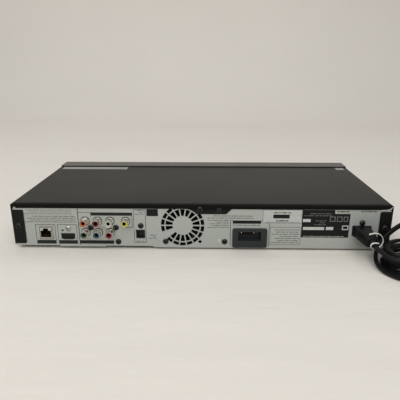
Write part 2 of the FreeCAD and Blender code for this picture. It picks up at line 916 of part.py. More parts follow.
def make_rear_panel():
    """Punched sheet with the grille, the socket cut-outs and screw holes."""
    body = Body("rear_panel")
    edge = half_width - s.panel_end_clearance
    step, slope = s.floor_step_x, s.panel_slope
    middle = step + s.panel_mid_start
    middle_end = middle + s.panel_mid_length
    body.pad(
        "XZ",
        panel_inner,
        panel_outer,
        outline(
            [
                (-edge, s.floor_low),
                (step, s.floor_low),
                (step + slope, s.panel_notch_z),
                (middle, s.panel_notch_z),
                (middle + slope, s.panel_mid_z),
                (middle_end - slope, s.panel_mid_z),
                (middle_end, s.panel_notch_z),
                (edge, s.panel_notch_z),
                (edge, s.panel_top),
                (-edge, s.panel_top),
            ]
        ),
    )
    fan_left = s.fan_x - s.fan_size / 2 - s.running_gap
    fan_right = s.fan_x + s.fan_size / 2 + s.running_gap
    flange = s.panel_top - s.panel_thickness
    front = panel_inner - s.panel_flange_depth
    for left, right in ((-flange_inner, fan_left), (fan_right, flange_inner)):
        body.pad("XY", flange, s.panel_top, rectangle(left, front, right, panel_inner))
    gap = s.socket_gap
    lan = rectangle(
        s.lan_x - s.lan_width / 2 - gap,
        main_board_top - gap,
        s.lan_x + s.lan_width / 2 + gap,
        main_board_top + s.lan_height + gap,
    )
    hdmi = rectangle(
        s.hdmi_x - s.hdmi_width / 2 - gap,
        main_board_top + 0.6 - gap,
        s.hdmi_x + s.hdmi_width / 2 + gap,
        main_board_top + 0.6 + s.hdmi_height + gap,
    )
    half = s.optical_size / 2 + gap
    optical = rectangle(
        s.optical_x - half, s.optical_z - half, s.optical_x + half, s.optical_z + half
    )
    rim = s.ext_wall + gap
    ext = rectangle(
        s.ext_recess_right - rim,
        s.ext_recess_bottom - rim,
        s.ext_recess_left + rim,
        s.ext_recess_top + rim,
    )
    inlet = rectangle(
        s.inlet_x - s.inlet_width / 2 - gap,
        s.inlet_z - s.inlet_height / 2 - gap,
        s.inlet_x + s.inlet_width / 2 + gap,
        s.inlet_z + s.inlet_height / 2 + gap,
    )
    jacks = [circle(x, z, s.rca_boss_radius + gap) for x, z in RCA_PLACES]
    body.pocket("XZ", panel_inner, panel_outer, lan, hdmi, optical, ext, inlet, *jacks)
    hole = s.screw_shank + s.shaft_gap
    holes = [circle(x, z, hole) for x, z in [*PANEL_SCREWS, *BLOCK_SCREWS, GROUND_SCREW, *CASE_SCREWS]]
    body.pocket("XZ", panel_inner, panel_outer, *holes)
    peg_x, peg_z = fan_hole(-1, -1)
    peg = outline(
        [(peg_x - 2.4, peg_z), (peg_x, peg_z - 2.4), (peg_x + 2.4, peg_z), (peg_x, peg_z + 2.4)]
    )
    body.pocket("XZ", panel_inner, panel_outer, peg)
    make_grille(body)
    return node(body.item, "rear_panel")


def make_grille(body):
    """Two rings of windows between straight spokes, with one sector left whole. The three
    outer windows at the top are shorter, so that the panel keeps its upper edge."""
    rings = [
        (s.grille_hub_radius, s.grille_ring_inner, -10, 17),
        (s.grille_ring_outer, s.grille_outer_radius, 130, 10),
        (s.grille_ring_outer, s.grille_outer_radius, -10, 4),
        (s.grille_ring_outer, s.grille_short_radius, 70, 3),
    ]
    pitch = 360.0 / GRILLE_SPOKES
    for inner, outer, first_angle, count in rings:
        window = ring_window(inner, outer, s.grille_web)
        pocket = body.pocket(
            "XZ", panel_inner, panel_outer, window, origin=(s.fan_x, s.fan_z)
        )
        sketch = pocket.Profile[0]
        bind(sketch, "AttachmentOffset.Rotation.Angle", first_angle)
        ring = body.round_copies(pocket, count)
        ring.Angle = pitch * (count - 1)


def make_top_cover():
    """Folded cover: top and two sides, rear lip with a tab over the fan, two flanges."""
    body = Body("top_cover")
    w, h, t = half_width, s.overall_height, s.cover_thickness
    bend = s.cover_bend
    section = outline(
        [
            (w, s.cover_side_bottom),
            (w, h - bend),
            (w - bend, h),
            (-w + bend, h),
            (-w, h - bend),
            (-w, s.cover_side_bottom),
            (-w + t, s.cover_side_bottom),
            (-w + t, h - t),
            (w - t, h - t),
            (w - t, s.cover_side_bottom),
        ],
        {1: bend, 3: bend},
    )
    body.pad("XZ", cover_front, cover_back, section)
    lip = outline(
        [
            (-w, s.lip_bottom),
            (s.tab_right - s.tab_slope, s.lip_bottom),
            (s.tab_right, s.tab_bottom),
            (s.fan_x - 15.7, s.tab_bottom),
            (s.fan_x - 5.2, s.lip_bottom),
            (w, s.lip_bottom),
            (w, h - bend),
            (w - bend, h),
            (-w + bend, h),
            (-w, h - bend),
        ],
        {3: -s.grille_ring_outer, 6: bend, 8: bend},
    )
    body.pad("XZ", panel_outer, cover_back, lip)
    r = s.flange_corner
    low, high, inner = s.flange_bottom, s.flange_top, flange_inner
    left = outline(
        [(inner + r, low), (w, low), (w, high), (inner + r, high), (inner, high - r), (inner, low + r)],
        {3: r, 5: r},
    )
    right = outline(
        [
            (-w, low),
            (-inner - r, low),
            (-inner, low + r),
            (-inner, high - r),
            (-inner - r, high),
            (-w, high),
        ],
        {1: r, 3: r},
    )
    body.pad("XZ", panel_outer, cover_back, left, right)
    hole = s.screw_shank + s.shaft_gap
    body.pocket("XZ", panel_outer, cover_back, *[circle(x, z, hole) for x, z in CASE_SCREWS])
    return node(body.item, "top_cover")


def make_front_bezel():
    """Moulded front with apertures for the tray, the display and four buttons."""
    body = Body("front_bezel")
    w, top, low = half_width, s.bezel_top, s.bezel_bottom
    wall, gap = s.bezel_wall, s.running_gap
    back = cover_front - gap
    body.pad("XZ", bezel_face, back, rectangle(-w, low, w, top))
    body.fillet(s.bezel_round, edge_at("x", y=bezel_face, z=top))
    body.pocket(
        "XZ",
        bezel_inner,
        back,
        outline([(-w + wall, low), (w - wall, low), (w - wall, top - wall), (-w + wall, top - wall)]),
    )
    body.pad("XY", low, low + wall, rectangle(-w + wall, bezel_inner, w - wall, s.chassis_front_y))
    tray = rectangle(
        s.drive_x - s.door_half_width - s.door_gap,
        s.door_bottom - s.door_gap,
        s.drive_x + s.door_half_width + s.door_gap,
        s.door_top + s.door_gap,
    )
    rim = s.window_rim
    window = rectangle(
        s.window_left + rim, s.window_bottom + rim, s.window_right - rim, s.window_top - rim
    )
    power = circle(s.power_x, s.power_z, s.power_radius + gap)
    caps = [cap_outline(x, z, length, height, gap) for x, z, length, height in CAPS.values()]
    body.pocket("XZ", bezel_face, bezel_inner, tray, window, power, *caps)
    seat = rectangle(s.window_left, s.window_bottom, s.window_right, s.window_top)
    body.pocket("XZ", bezel_face, bezel_face + s.window_thickness, seat)
    return node(body.item, "front_bezel")


def cap_outline(x, z, length, height, extra=0):
    half, rise = length / 2 + extra, height / 2 + extra
    return rounded(x - half, z - rise, x + half, z + rise, 1.0 + extra)


def make_display_window():
    """Smoked plate seated in the bezel's rebate."""
    body = Body("display_window")
    gap = s.socket_gap
    plate = rectangle(
        s.window_left + gap, s.window_bottom + gap, s.window_right - gap, s.window_top - gap
    )
    body.pad("XZ", bezel_face, bezel_face + s.window_thickness, plate)
    return node(body.item, "display_window")


def make_buttons():
    """Caps with a flange behind the bezel and a stem that ends just before its switch."""
    flange = bezel_inner + s.running_gap
    flange_back = flange + 1.2
    stem_end = s.display_board_y - s.switch_height - s.switch_plunger - s.button_travel - 0.3
    made = []
    power = Body("power_button")
    power.pad("XZ", front_y, flange, circle(s.power_x, s.power_z, s.power_radius))
    power.pad("XZ", flange, flange_back, circle(s.power_x, s.power_z, s.power_radius + 1.5))
    power.pad("XZ", flange_back, stem_end, circle(s.power_x, s.power_z, 1.6))
    made.append(node(power.item, "power_button"))
    for label, (x, z, length, height) in CAPS.items():
        cap = Body(label)
        cap.pad("XZ", front_y, flange, cap_outline(x, z, length, height))
        cap.pad("XZ", flange, flange_back, cap_outline(x, z, length, height, 1.5))
        cap.pad("XZ", flange_back, stem_end, circle(x, z, 1.6))
        made.append(node(cap.item, label))
    return made


def make_feet():
    """Four round feet under the stepped floor."""
    feet = []
    for x, level in ((foot_x, s.floor_high), (-foot_x, s.floor_low)):
        for y in (s.foot_front_y, s.foot_back_y):
            base = rod("foot_base", "z", s.foot_base_radius, 0, 1, x, y)
            feet.append(fused("foot", base, rod("foot_top", "z", s.foot_radius, 1, level, x, y)))
    return node(group("feet", *feet), "feet")


# Disc loader


def make_disc_tray():
    """Drawer with two disc recesses, a slot for the spindle and pickup, and a toothed rack."""
    body = Body("disc_tray", x=s.drive_x)
    w, front, rear = s.tray_half_width, door_back, s.tray_rear_y
    low, top = s.tray_bottom, s.tray_top
    body.pad("XY", low, top, rectangle(-w, front, w, rear))
    recess = circle(0, s.spindle_y, s.disc_radius + s.disc_clearance)
    body.pocket("XY", top - s.recess_depth, top, recess)
    small = circle(0, s.spindle_y, s.small_disc_radius + s.disc_clearance)
    body.pocket("XY", top - s.recess_depth - s.small_recess_depth, top, small)
    slot = s.tray_slot_half
    body.pocket("XY", low, top, rectangle(-slot, s.spindle_y, slot, rear))
    body.pocket("XY", low, top, circle(0, s.spindle_y, slot))
    ceiling = top - 1.8
    front_pocket = rectangle(-w + 10, front + 2, w - 10, s.spindle_y - s.disc_radius - 2.5)
    corners = [rectangle(26, 38, w - 4, rear - 2), rectangle(-w + 10, 38, -26, rear - 2)]
    body.pocket("XY", low, ceiling, front_pocket, *corners)
    pitch_line = -s.rack_offset
    root = pitch_line - s.gear_module * 1.25
    back = root - s.rack_back
    rack_front = s.tray_gear_y - s.gear_module * pi * 2.5
    body.pad("XY", s.rack_bottom, low, rectangle(back, rack_front, root, rear))
    pitch = s.gear_module * pi
    lean = tan(PRESSURE_ANGLE)
    half = pitch / 4 - s.gear_backlash / 4
    tip_half = half - s.gear_module * lean
    root_half = half + s.gear_module * 1.25 * lean
    middle = s.tray_gear_y - pitch * 1.5
    tip = pitch_line + s.gear_module
    tooth = outline(
        [
            (root - 0.1, middle - root_half),
            (root, middle - root_half),
            (tip, middle - tip_half),
            (tip, middle + tip_half),
            (root, middle + root_half),
            (root - 0.1, middle + root_half),
        ]
    )
    feature = body.pad("XY", s.rack_bottom, low, tooth)
    body.line_copies(feature, "V_Axis", pitch, 36)
    return node(body.item, "disc_tray")


def make_tray_door():
    """Front of the tray, closing the aperture of the bezel."""
    body = Body("tray_door", x=s.drive_x)
    w = s.door_half_width
    body.pad("XZ", bezel_face, door_back, rounded(-w, s.door_bottom, w, s.door_top, 1.0))
    return node(body.item, "tray_door")


def make_loader_chassis():
    """Moulded frame: floor with legs, side walls with tray guides, pins for the gears."""
    body = Body("loader_chassis", x=s.drive_x)
    w, wall = s.loader_half_width, s.loader_wall
    front, back = s.loader_front_y, s.loader_back_y
    floor, top = loader_floor_top, s.loader_top
    body.pad("XY", s.loader_floor, floor, rectangle(-w, front, w, back))
    half = s.loader_opening_half
    opening = rectangle(-half, s.loader_opening_front, half, s.loader_opening_back)
    motor = circle(s.motor_x - s.drive_x, s.motor_y, s.motor_radius + s.running_gap)
    body.pocket("XY", s.loader_floor, floor, opening, motor)
    inner = w - wall
    sides = [rectangle(-w, front, -inner, back), rectangle(inner, front, w, back)]
    body.pad("XY", floor, top, *sides)
    body.pad("XY", floor, s.loader_front_top, rectangle(-inner, front, inner, front + wall))
    body.pad("XY", floor, top - 2, rectangle(-inner, back - wall, inner, back))
    shelf_top = s.tray_bottom - s.running_gap
    shelf = s.shelf_inner
    rear = back - wall
    shelves = [rectangle(-inner, front, -shelf, rear), rectangle(shelf, front, inner, rear)]
    body.pad("XY", shelf_top - s.shelf_thickness, shelf_top, *shelves)
    lip_low = s.tray_top + s.running_gap
    length = s.guide_lip_length
    for start in (front, (front + rear) / 2, rear - length):
        lips = [
            rectangle(-inner, start, -shelf - 1, start + length),
            rectangle(shelf + 1, start, inner, start + length),
        ]
        body.pad("XY", lip_low, lip_low + 2, *lips)
    for x in (-w + 6, w - 6):
        for y in (front + 6, back - 6):
            body.pad("XY", low_floor_top, s.loader_floor, circle(x, y, 4))
    gear_x, pulley = tray_gear_x - s.drive_x, pulley_x - s.drive_x
    body.pad("XY", floor, s.gear_z - s.running_gap, circle(gear_x, s.tray_gear_y, 4))
    body.pad("XY", floor, s.pulley_z - s.running_gap, circle(pulley, pulley_y, 3.5))
    pin_top = s.gear_z + s.gear_thickness
    body.pad("XY", floor, pin_top, circle(gear_x, s.tray_gear_y, s.gear_pin_radius))
    body.pad("XY", floor, pin_top, circle(pulley, pulley_y, s.pulley_pin_radius))
    rail = s.cam_slider_y - s.running_gap
    body.pad("XY", floor, floor + 4, rectangle(-half, rail - 2, s.cam_rail_end, rail))
    rear_rail = s.cam_slider_y + s.cam_slider_depth + s.running_gap
    rail_back = s.loader_opening_front
    body.pad("XY", floor, floor + 2.5, rectangle(-half, rear_rail, half, rail_back))
    post = s.traverse_half_width + 1
    post_top = s.traverse_bottom - s.damper_height / 2 - 0.5
    posts = [
        rectangle(post + 1, s.pivot_y - 4, post + 7, s.pivot_y + 4),
        rectangle(-post - 7, s.pivot_y - 4, -post - 1, s.pivot_y + 4),
    ]
    body.pad("XY", floor, post_top, *posts)
    return node(body.item, "loader_chassis")


def make_clamp_bridge():
    """Joggled strip across the loader, with the hole that holds the clamp."""
    body = Body("clamp_bridge", x=s.drive_x)
    w, t, z = s.loader_half_width, s.bridge_thickness, s.loader_top
    rise = z + s.bridge_rise
    section = outline(
        [
            (-w, z),
            (-w + 14, z),
            (-w + 18, rise),
            (w - 18, rise),
            (w - 14, z),
            (w, z),
            (w, z + t),
            (w - 14, z + t),
            (w - 18, rise + t),
            (-w + 18, rise + t),
            (-w + 14, z + t),
            (-w, z + t),
        ]
    )
    half = s.bridge_half_depth
    body.pad("XZ", s.spindle_y - half, s.spindle_y + half, section)
    hole = circle(0, s.spindle_y, s.clamp_neck_radius + s.clamp_hole_gap)
    body.pocket("XY", rise, rise + t, hole)
    return node(body.item, "clamp_bridge")


def make_disc_clamp():
    """Flanged puck that presses the disc onto the turntable."""
    body = Body("disc_clamp", x=s.drive_x, y=s.spindle_y)
    seat = s.loader_top + s.bridge_rise + s.bridge_thickness + s.running_gap
    top = seat + s.clamp_flange
    low = s.turntable_top + s.disc_space
    hollow = s.turntable_cone_radius + 1.1
    ceiling = s.turntable_top + s.turntable_cone_height + 2.1
    body.turned(
        "XZ",
        [
            (0, ceiling),
            (hollow, ceiling),
            (hollow, low),
            (s.clamp_neck_radius, low),
            (s.clamp_neck_radius, seat),
            (s.clamp_flange_radius, seat),
            (s.clamp_flange_radius, top - 0.6),
            (s.clamp_flange_radius - 0.6, top),
            (0, top),
        ],
    )
    return node(body.item, "disc_clamp")


def make_traverse_base():
    """Plate that tilts: window for the pickup, rod blocks, bearings, pivots and cam pins."""
    body = Body("traverse_base", x=s.drive_x)
    w, low, top = s.traverse_half_width, s.traverse_bottom, traverse_top
    front, back = s.traverse_front_y, s.traverse_back_y
    body.pad("XY", low, top, rectangle(-w, front, w, back))
    half = s.traverse_window_half
    window = rectangle(-half, s.traverse_window_front, half, s.traverse_window_back)
    spindle = circle(0, s.spindle_y, s.spindle_motor_radius - 0.7)
    notch_back = s.traverse_window_front + 1
    notch = s.sled_motor_radius + 0.4
    sled = rectangle(
        s.screw_x - notch, notch_back - s.sled_motor_length - 1, s.screw_x + notch, notch_back
    )
    body.pocket("XY", low, top, window, spindle, sled)
    for y, length in ((s.traverse_window_front - 4, 5.5), (s.traverse_window_back, 5)):
        for side in (-1, 1):
            x = side * s.rod_x
            cover = rectangle(x - 3.2, low, x + 3.2, s.rod_z + 3)
            bore = circle(x, s.rod_z, s.rod_radius + s.shaft_gap)
            body.pad("XZ", y, y + length, cover)
            body.pocket("XZ", y, y + length, bore)
    bracket = notch_back
    for y, length in ((bracket, 2.5), (s.traverse_window_back, 5)):
        body.pad("XZ", y, y + length, rectangle(s.screw_x - 4.6, low, s.screw_x + 4.6, s.screw_z + 4))
        bore = circle(s.screw_x, s.screw_z, s.screw_radius + s.shaft_gap)
        body.pocket("XZ", y, y + length, bore)
    r = s.pivot_radius
    ears = [
        rectangle(w - 5, back - 2, w, s.pivot_y + r),
        rectangle(-w, back - 2, -w + 5, s.pivot_y + r),
    ]
    body.pad("XY", low - r, top, *ears)
    pivot = circle(s.pivot_y, s.traverse_bottom, r)
    end = w + s.pivot_length
    body.pad("YZ", w - 1, end, pivot)
    body.pad("YZ", -end, -w + 1, pivot)
    pins = [circle(side * s.cam_pin_x, s.cam_pin_z, s.cam_pin_radius) for side in (-1, 1)]
    body.pad("XZ", s.cam_slider_y + 0.6, front + 1.5, *pins)
    return node(body.item, "traverse_base")


def make_damper_bushes():
    """Two rubber blocks that hold the traverse's pivots."""
    made = []
    start = s.traverse_half_width + s.running_gap * 2
    y, z, half = s.pivot_y, s.traverse_bottom, s.damper_height / 2
    for side in (-1, 1):
        a, b = (start, start + s.damper_width) if side > 0 else (-start - s.damper_width, -start)
        low = z - half - 0.5
        shell = block("bush_block", s.drive_x + a, s.drive_x + b, y - half, y + half, low, z + half)
        bore = s.pivot_radius + s.shaft_gap
        hole = rod("bush_hole", "x", bore, s.drive_x + a - 1, s.drive_x + b + 1, y, z)
        made.append(cut_from("bush", shell, hole))
    return node(group("damper_bushes", *made), "damper_bushes")


def make_spindle_motor():
    """Can with a mounting flange on the traverse, and a bore for its shaft."""
    body = Body("spindle_motor", x=s.drive_x, y=s.spindle_y)
    bore = s.spindle_radius + s.shaft_gap
    r, top, seat = s.spindle_motor_radius, s.spindle_motor_top, traverse_top
    body.turned(
        "XZ",
        [
            (0, s.spindle_motor_bottom),
            (r - 1, s.spindle_motor_bottom),
            (r - 1, seat),
            (r + 2, seat),
            (r + 2, seat + 1.2),
            (r, seat + 1.2),
            (r, top),
            (4, top),
            (4, top + 3),
            (bore, top + 3),
            (bore, seat),
            (0, seat),
        ],
    )
    return node(body.item, "spindle_motor")


def make_turntable():
    """Disc seat with a centring cone, on the motor's shaft."""
    body = Body("turntable", x=s.drive_x, y=s.spindle_y)
    r, top, cone = s.turntable_radius, s.turntable_top, s.turntable_cone_radius
    low = top - s.turntable_thickness
    peak = top + s.turntable_cone_height
    body.turned(
        "XZ",
        [
            (0, traverse_top + 1),
            (s.spindle_radius, traverse_top + 1),
            (s.spindle_radius, low),
            (r, low),
            (r, top),
            (cone, top),
            (cone, top + 0.8),
            (cone - 1.6, peak),
            (0, peak),
        ],
    )
    return node(body.item, "turntable")


def make_optical_pickup():
    """Sled on two rods with a lens tower and a nut on the lead screw."""
    body = Body("optical_pickup", x=s.drive_x)
    front = s.pickup_front_y
    back = front + s.pickup_length
    w = s.pickup_half_width
    body.pad("XY", s.pickup_bottom, s.pickup_top, rectangle(-w, front, w, back))
    body.pad("XY", s.pickup_top, s.lens_top - 0.6, circle(0, s.lens_y, 4.2))
    bearings = [
        rectangle(side * s.rod_x - 3.3, s.rod_z - 2.6, side * s.rod_x + 3.3, s.rod_z + 2.6)
        for side in (-1, 1)
    ]
    body.pad("XZ", front, back, *bearings)
    arm_low = traverse_top + s.running_gap
    arm = rectangle(w, front + 8, s.screw_x + 3, front + 14)
    body.pad("XY", arm_low, s.screw_z + 3, arm)
    gap = s.shaft_gap
    bores = [circle(side * s.rod_x, s.rod_z, s.rod_radius + gap) for side in (-1, 1)]
    bores.append(circle(s.screw_x, s.screw_z, s.screw_radius + gap))
    body.pocket("XZ", front, back, *bores)
    well = circle(0, s.lens_y, s.lens_radius + 0.5)
    body.pocket("XY", s.pickup_top - 2, s.lens_top - 0.6, well)
    return node(body.item, "optical_pickup")


def make_pickup_lens():
    """Objective lens on its small carrier, in the tower of the pickup."""
    body = Body("pickup_lens", x=s.drive_x, y=s.lens_y)
    top, r, low = s.lens_top, s.lens_radius, s.pickup_top - 2
    body.turned("XZ", [(0, low), (r, low), (r, top - 0.5), (r - 0.8, top), (0, top)])
    return node(body.item, "pickup_lens")


def make_drive_shafts():
    """Two guide rods and the lead screw."""
    start, end = s.traverse_window_front - 3.5, s.traverse_window_back + 4.5
    rods = [
        rod("guide_rod", "y", s.rod_radius, start, end, s.drive_x + side * s.rod_x, s.rod_z)
        for side in (-1, 1)
    ]
    node(group("guide_rods", *rods), "guide_rods")
    x = s.drive_x + s.screw_x
    start = s.traverse_window_front + 1 - 4
    screw = rod("lead_screw", "y", s.screw_radius, start, end, x, s.screw_z)
    node(screw, "lead_screw")


def make_sled_motor():
    """Small motor that drives the lead screw."""
    body = Body("sled_motor", x=s.drive_x + s.screw_x, z=s.screw_z)
    back = s.traverse_window_front + 1
    front = back - s.sled_motor_length
    body.pad("XZ", front, back, circle(0, 0, s.sled_motor_radius))
    body.pocket("XZ", back - 5, back, circle(0, 0, s.screw_radius + s.shaft_gap))
    return node(body.item, "sled_motor")


def make_cam_slider():
    """Bar with two slanting slots that lower the traverse."""
    body = Body("cam_slider", x=s.drive_x)
    low = loader_floor_top + s.running_gap
    start = -s.cam_pin_x - s.cam_travel - 7
    section = rectangle(start, low, s.cam_pin_x + 7, s.cam_slider_top)
    y0, y1 = s.cam_slider_y, s.cam_slider_y + s.cam_slider_depth
    body.pad("XZ", y0, y1, section)
    r = s.cam_pin_radius + 0.2
    for side in (-1, 1):
        x = side * s.cam_pin_x
        slot = loop_round(x, s.cam_pin_z, r, x - s.cam_travel, s.cam_pin_z - s.cam_drop, r)
        body.pocket("XZ", y0, y1, slot)
    return node(body.item, "cam_slider")


def half_tooth_angle(teeth, radius):
    """Half the angle that an involute tooth spans at a radius, after half the backlash."""
    pitch_radius = SIZES["gear_module"] * teeth / 2
    base = pitch_radius * cos(PRESSURE_ANGLE)
    involute = tan(PRESSURE_ANGLE) - PRESSURE_ANGLE
    pressure = acos(min(1, base / radius))
    spread = tan(pressure) - pressure
    thin = SIZES["gear_backlash"] / 4 / pitch_radius
    return pi / (2 * teeth) + involute - spread - thin


def gear_teeth(body, teeth, low, high, root, first_angle=0):
    """One involute tooth by points on its flanks, then copies of it all round."""
    pitch_radius = SIZES["gear_module"] * teeth / 2
    tip = pitch_radius + SIZES["gear_module"]
    base = pitch_radius * cos(PRESSURE_ANGLE)
    inner = max(base, float(root) + 0.05)
    radii = [float(root) - 0.2] + [inner + (tip - inner) * k / 4 for k in range(5)]
    flank = [(r, half_tooth_angle(teeth, max(r, inner))) for r in radii]
    points = []
    for side in (-1, 1):
        for radius, angle in flank if side < 0 else reversed(flank):
            around = first_angle + side * angle
            scale = s.gear_module * (radius / SIZES["gear_module"])
            points.append((scale * cos(around), scale * sin(around)))
    tooth = body.pad("XY", low, high, outline(points))
    body.round_copies(tooth, teeth)


def make_tray_gear():
    """Gear between the pulley's pinion and the rack of the tray."""
    body = Body("tray_gear", x=tray_gear_x, y=s.tray_gear_y)
    low, high = s.gear_z, s.gear_z + s.gear_thickness
    root = gear_radius - s.gear_module * 1.25
    body.pad("XY", low, high, circle(0, 0, root))
    gear_teeth(body, TRAY_GEAR_TEETH, low, high, root)
    body.pocket("XY", low, high, circle(0, 0, s.gear_pin_radius + s.shaft_gap))
    return node(body.item, "tray_gear")


def make_pulley_gear():
    """Belt pulley with a pinion above it, in mesh with the tray gear."""
    body = Body("pulley_gear", x=pulley_x, y=pulley_y)
    low, high = s.pulley_z, s.pulley_z + s.pulley_height
    r, groove, flange = s.pulley_radius, s.pulley_groove, s.pulley_flange
    bore = s.pulley_pin_radius + s.shaft_gap
    root = pinion_radius - s.gear_module * 1.25
    top = s.gear_z + s.gear_thickness
    body.turned(
        "XZ",
        [
            (bore, low),
            (r, low),
            (r, low + flange),
            (groove, low + flange),
            (groove, high - flange),
            (r, high - flange),
            (r, high),
            (root, high),
            (root, top),
            (bore, top),
        ],
    )
    toward = MESH_ANGLE + pi
    gear_teeth(body, PINION_TEETH, s.gear_z, top, root, toward)
    return node(body.item, "pulley_gear")


def make_motor_pulley():
    """Small grooved pulley on the loading motor's shaft."""
    body = Body("motor_pulley", x=s.motor_x, y=s.motor_y)
    low, high = s.pulley_z + 0.2, s.pulley_z + s.pulley_height
    r, groove, flange = s.motor_pulley_radius, s.motor_pulley_groove, s.pulley_flange
    shaft = 1.0
    body.turned(
        "XZ",
        [
            (0, low - 4),
            (shaft, low - 4),
            (shaft, low),
            (r, low),
            (r, low + flange),
            (groove, low + flange),
            (groove, high - flange),
            (r, high - flange),
            (r, high),
            (0, high),
        ],
    )
    return node(body.item, "motor_pulley")


def make_loading_motor():
    """Motor under the loader floor, held by two ears."""
    body = Body("loading_motor", x=s.motor_x, y=s.motor_y)
    r = s.motor_radius
    top = s.pulley_z - s.running_gap
    body.pad("XY", low_floor_top + 0.8, top, circle(0, 0, r))
    ear = rectangle(-r - 3, -5, r + 3, 5)
    body.pad("XY", loader_floor_top, loader_floor_top + 1.2, ear)
    body.pocket("XY", top - 4.2, top, circle(0, 0, 1.0 + s.shaft_gap))
    return node(body.item, "loading_motor")


def make_loading_belt():
    """Rubber belt of square section round both pulleys, a little clear of their grooves."""
    body = Body("loading_belt")
    low = s.pulley_z + (s.pulley_height - s.belt_size) / 2
    rings = []
    for extra in (0, s.belt_size):
        big = s.pulley_groove + s.running_gap + extra
        small = s.motor_pulley_groove + s.running_gap + extra
        rings.append(loop_round(pulley_x, pulley_y, big, s.motor_x, s.motor_y, small))
    body.pad("XY", low, low + s.belt_size, *rings)
    return node(body.item, "loading_belt")


# Boards and what stands on them


def make_main_board():
    """Main board with a strip that runs behind the loader."""
    body = Body("main_board")
    left, right = s.main_board_left, s.main_board_right
    front, back = s.main_board_front, s.main_board_back
    points = [
        (left, front),
        (right, front),
        (right, back),
        (left, back),
        (left, s.strip_board_back),
        (s.strip_notch, s.strip_board_back),
        (s.strip_notch, s.strip_board_end),
        (s.strip_board_left, s.strip_board_end),
        (s.strip_board_left, s.strip_board_front),
        (left, s.strip_board_front),
    ]
    body.pad("XY", s.main_board_z, main_board_top, outline(points))
    hole = s.board_screw_radius + s.shaft_gap
    holes = [circle(x, y, hole) for x, y in MAIN_BOARD_HOLES]
    body.pocket("XY", s.main_board_z, main_board_top, *holes)
    return node(body.item, "main_board")


def make_main_heatsink():
    """Finned heatsink on the main chip."""
    body = Body("main_heatsink")
    x, y, size = s.heatsink_x, s.heatsink_y, s.heatsink_size
    low = main_board_top
    top = low + s.heatsink_height
    body.pad("XY", low, low + 3, rectangle(x, y, x + size, y + size))
    fin = body.pad("XY", low + 3, top, rectangle(x, y, x + s.heatsink_fin, y + size))
    body.line_copies(fin, "H_Axis", (size - s.heatsink_fin) / 7, 8)
    return node(body.item, "main_heatsink")


def make_power_board():
    """Power supply board."""
    body = Body("power_board")
    front, back = s.power_board_front, s.power_board_back
    plate = rectangle(power_board_left, front, s.power_board_right, back)
    body.pad("XY", s.power_board_z, power_board_top, plate)
    hole = s.board_screw_radius + s.shaft_gap
    holes = [circle(x, y, hole) for x, y in POWER_BOARD_HOLES]
    body.pocket("XY", s.power_board_z, power_board_top, *holes)
    return node(body.item, "power_board")


def make_transformer():
    """Ferrite core round a wound bobbin."""
    x, y, low = s.transformer_x, s.transformer_y, power_board_top
    bobbin = block("bobbin", x - 15, x + 15, y - 17, y + 17, low, low + 24)
    bars = [
        block("core_side", x - 20, x - 15.5, y - 12, y + 12, low + 4, low + 20),
        block("core_side", x + 15.5, x + 20, y - 12, y + 12, low + 4, low + 20),
        block("core_bridge", x - 20, x + 20, y - 12, y + 12, low + 8, low + 16),
    ]
    return node(fused("transformer", bobbin, *bars), "transformer")


def make_capacitors():
    """Standing electrolytic capacitors on both boards: x, y, radius and height."""
    power = [(-134, -30, 11, 30), (-134, -4, 8, 25), (-160, 48, 6, 20), (-144, 48, 6, 20)]
    main = [(84, 10, 4, 9), (84, 22, 4, 9), (172, -8, 5, 11), (186, -8, 5, 11), (160, 52, 4, 9)]
    cans = []
    for places, low in ((power, power_board_top), (main, main_board_top)):
        for x, y, radius, height in places:
            cans.append(rod("capacitor", "z", radius, low, low + height, x, y))
    return node(group("capacitors", *cans), "capacitors")


def make_display_parts():
    """Upright boards behind the bezel, the display tube and the four switches."""
    y = s.display_board_y
    back = y + s.board_thickness
    main = block("display_half", s.window_left - 2, s.main_board_right, y, back, 10, 48)
    small = block("power_half", s.power_x - 16, s.power_x + 20, y, back, 10, 50)
    node(group("display_board", main, small), "display_board")
    tube = block("vfd_display", s.window_left + 12, s.window_right - 12, y - 4.6, y, 20, 38)
    node(tube, "vfd_display")
    switches = []
    places = [(s.power_x, s.power_z)] + [(x, z) for x, z, length, height in CAPS.values()]
    for x, z in places:
        face = y - s.switch_height
        case = block("switch_case", x - 3, x + 3, face, y, z - 3, z + 3)
        plunger = rod("switch_plunger", "y", 1.7, face - s.switch_plunger, face, x, z)
        switches.append(fused("switch", case, plunger))
    node(group("tact_switches", *switches), "tact_switches")


# Sockets


def make_lan_jack():
    """Shielded socket with a stepped opening for the latch."""
    body = Body("lan_jack", x=s.lan_x)
    low, high = main_board_top, main_board_top + s.lan_height
    face = panel_outer + s.lan_proud
    half = s.lan_width / 2
    body.pad("XZ", face - s.lan_depth, face, rectangle(-half, low, half, high))
    mouth = outline(
        [
            (-6, low + 2.4),
            (6, low + 2.4),
            (6, high - 5),
            (3, high - 5),
            (3, high - 2.4),
            (-3, high - 2.4),
            (-3, high - 5),
            (-6, high - 5),
        ]
    )
    body.pocket("XZ", face - 14, face, mouth)
    return node(body.item, "lan_jack")


